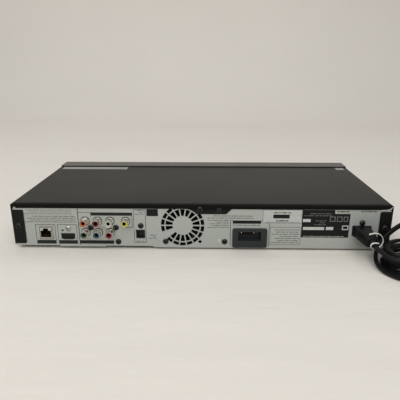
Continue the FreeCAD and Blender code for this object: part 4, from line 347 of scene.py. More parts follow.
# Boxes and dark strips, from the network socket across to the mains inlet.
lined_box(166.7, 6.4, 189.6, 30.4)
bar(167.4, 6.8, 188.9, 10.9)
lined_box(141.7, 6.4, 164.2, 30.4)
bar(142.4, 6.8, 163.5, 10.9)
bar(99.8, 6.7, 139.0, 11.0)
bar(139.0, 5.4, 139.8, 53.4)
bar(77.4, 41.4, 124.8, 45.2)
bar(77.4, 27.0, 77.9, 41.4)
bar(77.9, 27.0, 90.0, 27.5)
bar(124.8, 44.7, 139.0, 45.2)
lined_box(62.2, 8.5, 76.1, 49.0)
bar(48.0, 41.1, 61.0, 49.6, black_ink)
bar(-68.8, 32.7, -36.7, 36.5, black_ink)
bar(-34.6, 4.5, -34.0, 37.0)
bar(-78.5, 4.5, -77.9, 37.0)
bar(-36.7, 36.5, -34.6, 37.0)
bar(-77.9, 36.5, -68.8, 37.0)
lined_box(-114.5, 7.0, -79.4, 28.9, grey_ink)

# A pale label with a blank dark field, and rows of dashes for the small print.
label_grey = ink_finish("label_grey", (0.44, 0.465, 0.44))
bar(-114.6, 33.4, -70.4, 49.7, grey_ink)
bar(-114.2, 33.8, -70.8, 49.3, label_grey, 1)
bar(-100.6, 39.4, -82.2, 44.0, black_ink, 2)
broken_rows(-99.4, 35.9, -84.0, 1, 2.0, dark_ink, 1.2, 2)
broken_rows(-112.0, 34.4, -73.0, 1, 2.0, grey_ink, 0.6, 2)
broken_rows(-102.0, 45.6, -81.0, 1, 2.0, dark_ink, 1.0, 2)
broken_rows(142.0, 32.9, 201.0, 4, 2.3, grey_ink, 0.8)
broken_rows(146.0, 42.8, 200.0, 3, 2.3, grey_ink, 0.6)
broken_rows(-33.0, 27.6, -8.0, 5, 2.15, grey_ink, 0.8)
broken_rows(-60.0, 38.9, -8.0, 2, 2.5, grey_ink, 0.9)
broken_rows(-68.0, 30.4, -37.0, 1, 2.0, grey_ink, 1.0)
broken_rows(-112.6, 9.4, -81.2, 7, 2.6, grey_ink, 0.8)
broken_rows(64.0, 43.0, 74.6, 3, 2.1, grey_ink, 0.8)
broken_rows(64.6, 9.9, 74.0, 1, 2.0, grey_ink, 0.8)
broken_rows(50.4, 13.6, 59.6, 3, 2.0, grey_ink, 0.9)
broken_rows(-166.8, 47.2, -153.0, 1, 2.0, dark_ink, 1.2)
broken_rows(-197.0, 47.5, -180.0, 1, 2.0, dark_ink, 1.0)

# Rating plate: black, with blank pale fields, three empty frames and rows of dashes.
rating = [(-114.7, 49.7), (-151.0, 49.7), (-151.0, 45.2), (-168.3, 45.2)]
rating += [(-168.3, 16.5), (-114.7, 16.5)]
print_and_shade.plate(rating, PANEL, PANEL + INK, black_ink)
for left, bottom, right, top in [
    (-124.3, 35.3, -115.7, 38.8),
    (-140.3, 25.7, -116.4, 29.2),
    (-150.5, 25.8, -142.3, 29.4),
]:
    bar(left, bottom, right, top, white_ink, 1)
for left, bottom, right, top in [
    (-152.2, 35.7, -145.8, 42.1),
    (-159.9, 35.7, -153.6, 42.1),
    (-166.3, 35.7, -161.2, 42.1),
]:
    lined_box(left, bottom, right, top, grey_ink, 1.1, 1)
lined_box(-167.4, 25.9, -160.3, 31.3, white_ink, 1.0, 1)
broken_rows(-148.0, 42.4, -117.0, 2, 2.4, grey_ink, 0.9, 1)
broken_rows(-142.0, 31.6, -128.0, 3, 2.4, grey_ink, 0.9, 1)
broken_rows(-163.0, 17.6, -117.0, 1, 2.0, white_ink, 0.5, 1)

# Two dots, the black one painted shade for a small hole, and black painted shade for the gap round
# the video socket.
dot(-21.3, 11.9, 1.6, white_ink)
dot(158.5, 23.1, 1.2, black_ink)
cut_out = [(147.2, 11.9), (157.8, 11.9), (160.6, 14.7), (160.6, 19.6), (144.4, 19.6)]
print_and_shade.plate([*cut_out, (144.4, 14.7)], PANEL, PANEL + INK, black_ink)
print_and_shade.finish("case", "panel_steel")

# Top cover: one sheet of steel with a fine vinyl texture, folded down over both sides and
# the back. Painted shade darkens the rear bend and the lip; a square hole is drawn as painted
# shade with a painted highlight round its rim; pale slivers lie at the rear corners, and pale
# strips near the front are painted reflection.
COVER = 100.5
COVER_TOP = 55.0
BEND_SHADE_START, LIP_BOTTOM = 94.8, 49.0


def cover_finish():
    finish = Finish("cover_vinyl", (0.005, 0.0053, 0.005), 0.4, IOR=1.27)
    drift = finish.noise(7.0, 5.0)
    grain = finish.noise(2400.0, 2.0)
    # Painted shade: towards the rear edge of the top, and down the lip, the colour goes much
    # darker.
    bend = (finish.axis("Y") > BEND_SHADE_START) * (finish.axis("Z") > LIP_BOTTOM)
    shade = finish.shades(drift * 0.6 + grain * 0.4, 0.82, 1.16)
    finish.set("Base Color", finish.mix(bend, shade, (0.0012, 0.0013, 0.0012)))
    finish.set("Roughness", drift * 0.12 + grain * 0.1 + bend * 0.35 + 0.3)
    finish.bump(grain, 0.3, 0.06)
    return finish.material


cover_vinyl = cover_finish()
dress(cover_vinyl, "top_cover")
# Colours for painted light on the cover: a highlight for the hole's rim, and a reflection for the
# strips.
worn_edge = ink_finish("worn_edge", (0.05, 0.053, 0.05))
bare_strip = ink_finish("bare_strip", (0.3, 0.3, 0.28))
marks = Piece("cover_marks")
# The square hole: a pale frame of painted highlight for its rim, and a black square of painted
# shade for the hole.
marks.plate(oblong(-23.1, 46.9, -18.9, 51.1), COVER, COVER + INK, worn_edge)
marks.plate(oblong(-22.5, 47.3, -19.5, 50.7), COVER, COVER + 2 * INK, black_ink)
sliver = [(-213.6, 54.2), (-211.4, 51.6), (-207.5, 50.5), (-201.4, 50.3), (-201.4, 49.4)]
sliver += [(-208.0, 49.6), (-212.6, 50.8), (-214.1, 53.6)]
marks.plate(sliver, COVER, COVER + INK, label_grey)
marks.plate([(211.6, 50.3), (208.8, 50.3), (211.4, 52.0)], COVER, COVER + INK, label_grey)
marks.finish("case", "cover_paint")
# Pale strips on the top near the front: painted reflection of the light on the glossy front.
strips = Piece("cover_strips")
for left, right, front, back in ((112.0, 208.8, -76.0, -63.0), (-208.9, -197.0, -76.0, -64.0)):
    corners = [(left, front), (right, front), (right, back), (left, back)]
    levels = (COVER_TOP, COVER_TOP + INK)
    strips.rings([[(x, y, z) for x, y in corners] for z in levels], bare_strip)
strips.finish("case", "cover_paint")

# Screws: pressed pan heads with a cross recess, blackened but for the one over the video
# socket. Three hold the cover, seven hold the panel, and a domed one is the ground.
CROSS_REACH = 1.05
SCREW_TURN = 0.5


class PointTree:
    """Geometry nodes that stand one shape on each point of a mesh, in a given finish."""

    def __init__(self, name, inputs):
        self.tree = bpy.data.node_groups.new(name, "GeometryNodeTree")
        self.tree.is_modifier = True
        face = self.tree.interface
        for label, kind in {"Geometry": "Geometry", **inputs, "Finish": "Material"}.items():
            face.new_socket(label, in_out="INPUT", socket_type="NodeSocket" + kind)
        face.new_socket("Geometry", in_out="OUTPUT", socket_type="NodeSocketGeometry")
        self.given = self.tree.nodes.new("NodeGroupInput").outputs

    def add(self, kind, settings=None, inputs=None):
        node = self.tree.nodes.new(kind)
        for name, value in (settings or {}).items():
            setattr(node, name, value)
        for key, value in (inputs or {}).items():
            if isinstance(value, bpy.types.NodeSocket):
                self.tree.links.new(value, node.inputs[key])
            else:
                node.inputs[key].default_value = value
        return node.outputs[0]

    def calculate(self, operation, first, second):
        return self.add("ShaderNodeMath", {"operation": operation}, {0: first, 1: second})

    def vector(self, x=0.0, y=0.0, z=0.0):
        return self.add("ShaderNodeCombineXYZ", None, {"X": x, "Y": y, "Z": z})

    def moved(self, shape, **changes):
        return self.add("GeometryNodeTransform", None, {"Geometry": shape, **changes})

    def stand(self, shape):
        """Ends the tree with the shape on each point, as one mesh."""
        points = self.add("GeometryNodeMeshToPoints", None, {"Mesh": self.given["Geometry"]})
        copies = {"Points": points, "Instance": shape}
        copies = self.add("GeometryNodeInstanceOnPoints", None, copies)
        whole = self.add("GeometryNodeRealizeInstances", None, {"Geometry": copies})
        coat = {"Geometry": whole, "Material": self.given["Finish"]}
        end = self.tree.nodes.new("NodeGroupOutput")
        self.tree.links.new(self.add("GeometryNodeSetMaterial", None, coat), end.inputs[0])
        return self.tree


def screw_tree():
    """Heads on points: a dome less a cross, cut at unit size, then scaled and turned out."""
    sizes = ("Head radius", "Head height", "Recess width", "Recess depth")
    made = PointTree("screw_heads", dict.fromkeys(sizes, "Float"))
    radius, height, width, depth = (made.given[size] for size in sizes)
    unit_dome = {"Segments": 28, "Rings": 15, "Radius": 1.0}
    head = made.add("GeometryNodeMeshUVSphere", None, unit_dome)
    width = made.calculate("DIVIDE", width, radius)
    deep = made.calculate("MULTIPLY", made.calculate("DIVIDE", depth, height), 2.0)
    for across, along in ((width, CROSS_REACH), (CROSS_REACH, width)):
        size = made.vector(across, along, deep)
        arm = made.add("GeometryNodeMeshCube", None, {"Size": size})
        arm = made.moved(arm, Translation=made.vector(z=1.0))
        parts = {"Mesh 1": head, "Mesh 2": arm}
        head = made.add("GeometryNodeMeshBoolean", {"operation": "DIFFERENCE"}, parts)
    turn = made.vector(-pi / 2, SCREW_TURN)
    return made.stand(made.moved(head, Rotation=turn, Scale=made.vector(radius, radius, height)))


def grown(name, tree, places, body, slot, **values):
    """Runs a tree on a mesh of points and keeps the result as a plain mesh."""
    seed = bpy.data.meshes.new(name + "_seed")
    seed.from_pydata([Vector(point) * MM for point in places], [], [])
    holder = bpy.data.objects.new(name + "_seed", seed)
    bpy.context.scene.collection.objects.link(holder)
    modifier = holder.modifiers.new("tree", "NODES")
    modifier.node_group = tree
    for item in tree.interface.items_tree:
        if item.in_out == "INPUT" and item.name.replace(" ", "_") in values:
            modifier[item.identifier] = values[item.name.replace(" ", "_")]
    graph = bpy.context.evaluated_depsgraph_get()
    data = bpy.data.meshes.new_from_object(holder.evaluated_get(graph))
    data.name = name
    bpy.data.objects.remove(holder)
    bpy.data.meshes.remove(seed)
    return place(bpy.data.objects.new(name, data), body, slot)


def worn_metal(name, colour, metallic, grain, shades, rough):
    """Metal whose wear, at a grain's scale and detail, shades and roughens it."""
    finish = Finish(name, colour, rough[1], metallic)
    wear = finish.noise(*grain)
    finish.set("Base Color", finish.shades(wear, *shades))
    finish.set("Roughness", wear * rough[0] + rough[1])
    return finish.material


screw_wear = (700.0, 4.0), (0.6, 1.5), (0.3, 0.22)
black_zinc = worn_metal("black_zinc", (0.03, 0.03, 0.03), 0.8, *screw_wear)
nickel_screw = worn_metal("nickel_screw", (0.45, 0.44, 0.41), 1.0, *screw_wear)
heads = screw_tree()
CASE_SCREWS = [(208.2, COVER, 28.6), (-208.2, COVER, 28.6), (0.4, COVER, 49.8)]
PANEL_SCREWS = [(125.5, 26.8), (96.6, 27.0), (68.1, 29.3), (94.7, 9.5), (40.0, 10.2)]
PANEL_SCREWS = [(x, PANEL, z) for x, z in [*PANEL_SCREWS, (-27.8, 10.4)]]
GROUND_SCREW = (-182.6, PANEL, 34.5)
VIDEO_SCREW = (151.8, PANEL, 25.4)
for name, replaced, places, radius, height, width, depth in [
    ("case_screw_heads", "case_screws", CASE_SCREWS, 3.6, 1.9, 0.9, 1.3),
    ("panel_screw_heads", "panel_screws", PANEL_SCREWS, 3.4, 1.8, 0.8, 1.2),
    ("ground_screw_head", "panel_screws", [GROUND_SCREW], 3.4, 2.3, 0.9, 1.4),
    ("video_screw_head", "panel_screws", [VIDEO_SCREW], 3.4, 1.8, 0.8, 1.2),
]:
    bright = name == "video_screw_head"
    made = grown(
        name,
        heads,
        places,
        "case",
        "bright_steel" if bright else "black_screw",
        Head_radius=radius * MM,
        Head_height=height * MM,
        Recess_width=width * MM,
        Recess_depth=depth * MM,
        Finish=nickel_screw if bright else black_zinc,
    )
    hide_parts(replaced)

# Round audio and video sockets: a nickel shell rolled from strip, a coloured insert with
# a mouth for the plug's pin, and painted shade lining that mouth, all in one black block.
SOCKETS = [
    ("orange", 131.6, 34.8, (0.45, 0.13, 0.05)),
    ("crimson", 117.4, 34.8, (0.16, 0.02, 0.022)),
    ("ivory", 103.2, 34.8, (0.52, 0.5, 0.45)),
    ("yellow", 85.2, 34.8, (0.5, 0.45, 0.08)),
    ("green", 131.6, 20.9, (0.035, 0.085, 0.045)),
    ("blue", 117.4, 20.9, (0.025, 0.075, 0.13)),
    ("red", 103.2, 20.9, (0.2, 0.012, 0.018)),
]
SHELL_END = 110.0


def moulded(name, colour, roughness, grain=1500.0, depth=0.04, drift=0.14, **fixed):
    finish = Finish(name, colour, roughness, **fixed)
    cloud = finish.noise(14.0, 4.0)
    finish.set("Base Color", finish.shades(cloud, 1 - drift, 1 + drift))
    finish.set("Roughness", finish.noise(55.0, 5.0) * 0.16 + roughness - 0.08)
    finish.bump(finish.noise(grain, 2.0), 0.35, depth)
    return finish.material


nickel = worn_metal(
    "nickel_plate", (0.82, 0.79, 0.72), 1.0, (160.0, 4.0), (0.8, 1.12), (0.2, 0.14)
)
black_moulding = moulded("black_moulding", (0.008, 0.008, 0.009), 0.45, IOR=1.33)
# Near-black with little reflection: painted shade for deep places, the sockets' mouths and the fan
# seen through the grille.
depth_shade = moulded("pit_black", (0.003, 0.003, 0.003), 0.7, IOR=1.15)
dress(black_moulding, "rca_block")
shells = Piece("socket_shells")
inserts = Piece("socket_inserts")
for name, x, z, colour in SOCKETS:
    plastic = moulded(name + "_insert", colour, 0.34, 1100.0, 0.02, 0.08)
    shells.turned(
        [(3.7, 100.15), (4.15, 100.15), (4.15, SHELL_END - 0.25), (4.02, SHELL_END),
         (3.8, SHELL_END), (3.68, SHELL_END - 0.3), (3.68, 108.4), (3.65, 100.2)],
        x, z, nickel,
    )
    shells.turned(
        [(0.0, 100.1), (4.7, 100.1), (4.7, 100.6), (4.45, 100.9), (0.0, 100.9)],
        x, z, nickel,
    )
    inserts.turned(
        [(1.7, 101.0), (3.64, 101.0), (3.64, 108.9), (3.5, 109.1), (2.3, 109.1),
         (2.05, 108.8), (1.9, 103.0)],
        x, z, plastic,
    )
    # Painted shade lining the mouth, so that it reads as a deep hole.
    inserts.turned(
        [(0.0, 102.4), (1.87, 102.4), (1.87, 108.7), (1.8, 108.7), (1.8, 102.9), (0.0, 102.9)],
        x, z, depth_shade, 24,
    )
socket_shells = shells.finish("case", "bright_steel")
socket_inserts = inserts.finish("case", "collar_plastic")
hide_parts("rca_shells")
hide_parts("rca_collars")

# Network, video and optical sockets: plated cans with black cores and rows of contacts,
# a seam round the network socket's face, and a hinged dust flap over the optical one.
NETWORK_X, NETWORK_FACE = 178.0, 100.7
VIDEO_X = 152.5


def canned_socket_finish(name, can, x, half, low, high, face, tongue):
    """Plated can outside, black core inside its mouth, and a paler tongue in that."""
    finish = Finish(name, can, 0.28, 1.0)
    wear = finish.noise(120.0, 4.0)
    across, up = finish.axis("X") - x, finish.axis("Z")
    sideways = across.math("ABSOLUTE", across)
    inside = (sideways < half) * (up > low) * (up < high) * (finish.axis("Y") < face)
    pale = (sideways < tongue[0]) * (up > tongue[1]) * (up < tongue[2])
    core = finish.mix(pale, (0.012, 0.012, 0.013), (0.3, 0.3, 0.29))
    finish.set("Base Color", finish.mix(inside, finish.shades(wear, 0.85, 1.1), core))
    finish.set("Metallic", 1 - inside)
    finish.set("Roughness", wear * 0.2 + inside * 0.2 + 0.18)
    return finish.material


network_can = canned_socket_finish(
    "network_can", (0.62, 0.61, 0.57), NETWORK_X, 6.03, 14.37, 25.53, 100.38, (0.0, 0.0, 0.0)
)
video_can = canned_socket_finish(
    "video_can", (0.06, 0.06, 0.06), VIDEO_X, 7.1, 12.6, 18.3, 100.28, (5.6, 15.6, 16.55)
)
dress(network_can, "lan_jack")
dress(video_can, "hdmi_jack")
seam = Piece("network_seam")
for side in border(NETWORK_X - 7.1, 12.5, NETWORK_X + 7.1, 26.9, 0.35):
    seam.plate(oblong(*side), NETWORK_FACE, NETWORK_FACE + INK, black_ink)
seam.finish("case", "bright_steel")


def contact_tree():
    """A row of sprung contacts: a bar on each point, turned to the row's slope."""
    made = PointTree("contact_row", {"Contact size": "Vector", "Slope": "Float"})
    wire = made.add("GeometryNodeMeshCube", None, {"Size": made.given["Contact size"]})
    return made.stand(made.moved(wire, Rotation=made.vector(made.given["Slope"])))


gold = worn_metal(
    "gold_flash", (0.78, 0.55, 0.24), 1.0, (500.0, 3.0), (0.85, 1.1), (0.2, 0.2)
)
contacts = contact_tree()
grown(
    "network_contacts",
    contacts,
    [(NETWORK_X + 1.02 * (wire - 3.5), 95.6, 16.4) for wire in range(8)],
    "case",
    "bright_steel",
    Contact_size=Vector((0.45, 7.0, 0.35)) * MM,
    Slope=radians(-16),
    Finish=gold,
)
grown(
    "video_contacts",
    contacts,
    [(VIDEO_X + 0.5 * (wire - 9), 94.0, 16.62) for wire in range(19)],
    "case",
    "bright_steel",
    Contact_size=Vector((0.28, 3.6, 0.12)) * MM,
    Slope=0.0,
    Finish=gold,
)
optical_grey = moulded("optical_grey", (0.012, 0.0125, 0.0135), 0.42, IOR=1.33)
dress(optical_grey, "optical_jack", "optical_shutter")

# Expansion port: a slate frame proud of the panel, a deep recess and its socket.
slate = moulded("slate_moulding", (0.02, 0.0235, 0.0255), 0.48, IOR=1.36)
dress(slate, "ext_bezel")
shield = Piece("expansion_shield")
for left, low, right, high, metal in [
    (-47.6, 19.4, -47.0, 21.6, nickel),
    (-61.8, 19.4, -61.2, 21.6, nickel),
    (-61.2, 19.2, -47.6, 19.5, black_zinc),
    (-60.8, 21.8, -48.0, 22.1, black_zinc),
]:
    shield.plate(oblong(left, low, right, high), 95.0, 95.4, metal)
shield.finish("case", "bright_steel")
dress(black_moulding, "ext_socket", "ac_inlet")

# Cooling fan behind the punched grille: frame and rotor in the near-black of painted shade,
# so that the grille's windows look as deep as they are.
dress(depth_shade, "fan_frame", "fan_rotor")

# Front: glossy bezel and tray door in black, a smoked display window, and four satin keys
# with plain signs for power, eject, play and stop.
KEY_FACE = -110.0


def bezel_finish():
    finish = Finish("bezel_gloss", (0.012, 0.012, 0.013), 0.3, Coat_Weight=0.1)
    smears = finish.noise(22.0, 5.0)
    finish.set("Base Color", finish.shades(smears, 0.85, 1.15))
    finish.set("Roughness", smears * 0.16 + 0.22)
    finish.bump(finish.noise(900.0, 2.0), 0.15, 0.015)
    return finish.material


bezel_gloss = bezel_finish()
key_satin = moulded("key_satin", (0.022, 0.022, 0.024), 0.35, 1300.0, 0.02)
dress(bezel_gloss, "front_bezel", "tray_door")
dress(key_satin, "power_button", "open_close_button", "play_button", "stop_button")


def key_sign(name, key, *outlines):
    """Thin pale shapes printed on a key, which ride with it."""
    sign = Piece(name)
    for shape in outlines:
        sign.plate(shape, KEY_FACE, KEY_FACE - INK, white_ink)
    sign.finish(key, "bezel_plastic")


def ring_part(x, z, radius, line, start, end):
    """Part of a ring as an outline, from start round to end in degrees."""
    turns = [radians(start + (end - start) * step / 16) for step in range(17)]
    outer = [(x + radius * cos(angle), z + radius * sin(angle)) for angle in turns]
    inner = [(x + (radius - line) * cos(a), z + (radius - line) * sin(a)) for a in turns[::-1]]
    return outer + inner


key_sign(
    "power_sign", "power_key", ring_part(-190.0, 38.0, 2.3, 0.5, 120, 420),
    oblong(-190.25, 38.2, -189.75, 40.8),
)
key_sign(
    "eject_sign", "eject_key", [(174.4, 38.9), (177.6, 38.9), (176.0, 40.7)],
    oblong(174.4, 37.7, 177.6, 38.3),
)
key_sign("play_sign", "play_key", [(168.0, 22.5), (170.8, 24.0), (168.0, 25.5)])
key_sign("stop_sign", "stop_key", oblong(188.7, 22.7, 191.3, 25.3))


def window_finish():
    finish = Finish("smoked_window", (0.01, 0.011, 0.014), 0.08, Coat_Weight=0.6)
    smears = finish.noise(18.0, 5.0)
    finish.set("Base Color", finish.shades(smears, 0.8, 1.3))
    finish.set("Roughness", smears * 0.1 + 0.04)
    return finish.material


dress(window_finish(), "display_window")

# Inside: black tray and loader, white gears and clamp, steel rods, motors and pickup.
white_gear = moulded("white_gear", (0.62, 0.61, 0.55), 0.42, 800.0, 0.03, 0.05)
soft_rubber = moulded("soft_rubber", (0.012, 0.012, 0.012), 0.75, 1800.0, 0.08)
dress(black_moulding, "disc_tray", "loader_chassis", "turntable", "tact_switches")
dress(white_gear, "disc_clamp", "motor_pulley", "pulley_gear", "tray_gear", "cam_slider")
dress(soft_rubber, "feet", "damper_bushes", "loading_belt")


def bright_metal(name, colour, roughness, stretch):
    finish = Finish(name, colour, roughness, 1.0)
    lines = finish.noise(900.0, 2.0, stretch)
    marks = finish.noise(35.0, 5.0)
    finish.set("Base Color", finish.shades(marks, 0.88, 1.08))
    finish.set("Roughness", lines * 0.14 + marks * 0.1 + roughness - 0.1)
    finish.bump(lines, 0.1, 0.03)
    return finish.material


ground_steel = bright_metal("ground_steel", (0.66, 0.65, 0.62), 0.24, (12.0, 0.6, 12.0))
motor_can = bright_metal("motor_can", (0.5, 0.5, 0.48), 0.34, (1.0, 1.0, 8.0))
cast_aluminium = bright_metal("cast_aluminium", (0.55, 0.55, 0.55), 0.46, (1.0, 1.0, 1.0))
dress(ground_steel, "guide_rods", "lead_screw")
dress(motor_can, "spindle_motor", "sled_motor", "loading_motor")
dress(cast_aluminium, "optical_pickup", "main_heatsink")
dress(black_zinc, "board_screws")

# Circuit boards: green mask over copper, with the parts that stand on them.


def board_finish():
    finish = Finish("board_mask", (0.012, 0.09, 0.04), 0.35)
    traces = finish.node(
        "ShaderNodeTexBrick",
        None,
        {"Vector": finish.place, "Scale": 120.0, "Mortar Size": 0.08, "Row Height": 0.3},
        "Fac",
    )
    finish.set("Base Color", finish.mix(traces, (0.008, 0.06, 0.028), (0.03, 0.15, 0.06)))
    finish.set("Roughness", finish.noise(80.0, 3.0) * 0.2 + 0.28)
    finish.bump(traces, 0.2, 0.03)
    return finish.material


dress(board_finish(), "main_board", "power_board", "display_board")
dress(moulded("ferrite", (0.045, 0.042, 0.04), 0.6, 500.0, 0.1), "transformer")
dress(moulded("can_sleeve", (0.015, 0.022, 0.07), 0.24, 700.0, 0.01), "capacitors")
dress(moulded("tube_glass", (0.02, 0.05, 0.045), 0.14, 300.0, 0.005), "vfd_display", "pickup_lens")
dress(moulded("ribbon_film", (0.6, 0.6, 0.58), 0.4, 900.0, 0.03, 0.05), "ribbon_cables")

# Mains lead: a flat two-core cord in black, coiled beside the player in four layers with
# a loose turn round them, and ending in its wall plug on the table.
INLET_X, INLET_Z = -182.6, 24.9
PLUG_X, PLUG_Z = -288.0, 7.5
CORD_START, CORD_END = 139.0, 108.0
COIL_CENTRE = (-224.5, 142.3, 2.75)
COIL_PITCH = 5.8
COIL_RADIUS = 31.8
LOOSE_RADIUS = 37.8
LOOSE_LIFT = 42.0
COIL_START = 75.0
LAYERS = 4
LAYER_TURNS = 1.5
ALL_TURNS = 7
COIL_STEPS = 14
CORD_WIDTH, CORD_THICKNESS = 5.6, 3.3


def eased(fraction):
    fraction = min(1.0, max(0.0, fraction))
    return fraction * fraction * (3 - 2 * fraction)


def coil_point(turns):
    """The cord's middle after a number of turns: four layers, then the loose turn."""
    wound = LAYERS * LAYER_TURNS
    phase = min(turns / LAYER_TURNS, LAYERS) % 2
    inward_way = 0.0 if turns > wound else (phase if phase < 1 else 2 - phase)
    radius = COIL_RADIUS - COIL_PITCH * LAYER_TURNS * inward_way
    level = LAYERS - 1
    for change in range(1, LAYERS):
        level -= eased((turns - change * LAYER_TURNS) * 2 + 0.5)
    height = COIL_CENTRE[2] + COIL_PITCH * level
    if turns > wound:
        past = (turns - wound) * 360
        radius += (LOOSE_RADIUS - COIL_RADIUS) * eased(past / 90)
        wave = past / 310 if past < 155 else min(0.5 + (past - 155) / 360, 1)
        height += LOOSE_LIFT * ((1 - cos(2 * pi * wave)) / 2) ** 1.92
    angle = radians(COIL_START + turns * 360)
    return Vector(
        (COIL_CENTRE[0] + radius * cos(angle), COIL_CENTRE[1] + radius * sin(angle), height)
    )


def cord_route():
    """Control points from the inlet through the coil to the wall plug."""
    points = [(INLET_X, CORD_START, INLET_Z), (INLET_X, CORD_START + 13.9, INLET_Z)]
    points.append((INLET_X - 11.0, CORD_START + 28.2, INLET_Z - 4.75))
    points += [coil_point(step / COIL_STEPS) for step in range(ALL_TURNS * COIL_STEPS + 1)]
    last = coil_point(ALL_TURNS)
    heading = (last - coil_point(ALL_TURNS - 0.001)).normalized()
    bend = last + heading * 34
    points += [bend, (PLUG_X + 12, bend.y - 16, last.z)]
    return points + [(PLUG_X, bend.y - 52, PLUG_Z), (PLUG_X, CORD_END, PLUG_Z)]


def smooth_line(route):
    """Points read from the spline that has the route as its control points."""
    curve = bpy.data.curves.new("line", "CURVE")
    curve.dimensions = "3D"
    curve.resolution_u = 6
    spline = curve.splines.new("NURBS")
    spline.points.add(len(route) - 1)
    for control, point in zip(spline.points, route):
        control.co = (*(Vector(point) * MM), 1)
    spline.order_u = 3
    spline.use_endpoint_u = True
    holder = bpy.data.objects.new("line", curve)
    line = bpy.data.meshes.new_from_object(holder)
    points = [vertex.co.copy() for vertex in line.vertices]
    bpy.data.objects.remove(holder)
    bpy.data.curves.remove(curve)
    bpy.data.meshes.remove(line)
    return points


def two_cores(width, thick, steps=9):
    """Section of the cord: two round cores side by side with a groove between them."""
    section = []
    for side in (1, -1):
        for step in range(steps + 1):
            angle = radians(-72 + 144 * step / steps) + (0 if side > 0 else pi)
            across = thick / 2 * cos(angle) + side * (width - thick) / 2
            section.append((across, thick / 2 * sin(angle)))
    return section


def swept(name, line, section, wide, material, body, slot, twist=None):
    """A strip or cord along a line, its width kept along wide or level, but for a twist."""
    rings = []
    for index, point in enumerate(line):
        ahead = line[min(index + 1, len(line) - 1)] - line[max(index - 1, 0)]
        ahead.normalize()
        across = Vector(wide) if wide else ahead.cross(Vector((0, 0, 1)))
        across = (across - ahead * across.dot(ahead)).normalized()
        up = across.cross(ahead)
        if twist:
            angle = twist(index / (len(line) - 1))
            turned = across * cos(angle) + up * sin(angle)
            across, up = turned, up * cos(angle) - across * sin(angle)
        rings.append([(point + across * (a * MM) + up * (b * MM)) / MM for a, b in section])
    piece = Piece(name)
    piece.rings(rings, material, True)
    return piece.finish(body, slot, 60)


cord_black = moulded("cord_black", (0.0045, 0.0045, 0.005), 0.46, 1400.0, 0.04, IOR=1.26)
cord_line = smooth_line(cord_route())


def loop_twist(along):
    """How far the flat cord is turned on its edge where the loose turn lifts off."""
    return radians(82) * eased((along - 0.825) / 0.03) * eased((0.95 - along) / 0.03)


cord = swept(
    "mains_cord", cord_line, two_cores(CORD_WIDTH, CORD_THICKNESS), None, cord_black,
    "case", "cord_pvc", loop_twist,
)
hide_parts("cord_lead", "cord_hank", "cord_tail")

# Connector in the inlet: a moulded body with a raised front, shoulders that narrow to
# the cord, and a ribbed strain relief.


def lofted(piece, sections, x, z, material):
    """A skin through rounded rectangles: y, half width, half height and corner."""
    rings = []
    for y, half, rise, corner in sections:
        ring = oblong(-half, -rise, half, rise, corner, 6)
        rings.append([(x + a, y, z + b) for a, b in ring])
    piece.rings(rings, material, True)


connector = Piece("connector")
lofted(
    connector,
    [
        (89.2, 7.6, 3.8, 1.2), (101.0, 7.7, 3.9, 1.2), (101.3, 8.9, 5.5, 1.4),
        (101.9, 9.3, 6.0, 1.6), (104.6, 9.3, 6.0, 1.6), (105.0, 9.0, 5.7, 2.0),
        (105.8, 8.9, 5.8, 2.2), (113.0, 8.6, 6.0, 2.8), (123.0, 8.0, 6.2, 3.6),
        (130.0, 7.3, 6.1, 4.4), (132.2, 6.8, 5.7, 4.4), (133.2, 5.8, 4.8, 4.0),
        (133.5, 4.6, 4.0, 3.4),
    ],
    INLET_X, INLET_Z, cord_black,
)
for rib in range(2):
    start, size = 133.3 + 2.6 * rib, 3.7 - 0.2 * rib
    lofted(
        connector,
        [
            (start, size - 0.5, size - 0.6, 2.2), (start + 0.3, size, size - 0.15, 2.6),
            (start + 1.4, size, size - 0.15, 2.6), (start + 1.7, size - 0.5, size - 0.6, 2.2),
            (start + 2.8, size - 0.55, size - 0.65, 2.2),
        ],
        INLET_X, INLET_Z, cord_black,
    )
connector = connector.finish("case", "cord_pvc", 50)
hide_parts("power_connector")

# Wall plug on the table: a grip with ridges at its sides and two flat blades.
BLADE_REACH, RIDGE_REACH = 6.35, 9.9
blade_brass = bright_metal("blade_brass", (0.7, 0.62, 0.45), 0.3, (1.0, 0.6, 10.0))
plug = Piece("wall_plug")
lofted(
    plug,
    [
        (74.0, 8.6, 6.6, 1.6), (75.0, 9.5, 7.3, 2.2), (84.0, 10.4, 7.45, 2.6),
        (91.0, 10.2, 7.2, 3.0), (97.0, 7.4, 5.6, 3.0), (100.0, 4.7, 4.3, 3.0),
        (104.0, 3.7, 3.5, 2.4), (108.0, 3.2, 3.1, 2.2),
    ],
    PLUG_X, PLUG_Z, cord_black,
)
for side in (-1, 1):
    middle = PLUG_X + side * BLADE_REACH
    blade = oblong(middle - 0.75, 4.3, middle + 0.75, 10.7, 0.4, 2)
    plug.plate(blade, 74.5, 57.2, blade_brass, 0.4)
    middle = PLUG_X + side * RIDGE_REACH
    ridge = oblong(middle - 0.5, 4.0, middle + 0.5, 11.0, 0.45, 2)
    for start in (79.0, 82.0, 85.0, 88.0):
        plug.plate(ridge, start, start + 1.4, cord_black, 0.3)
plug = plug.finish("case", "cord_pvc", 50)
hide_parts("mains_plug")

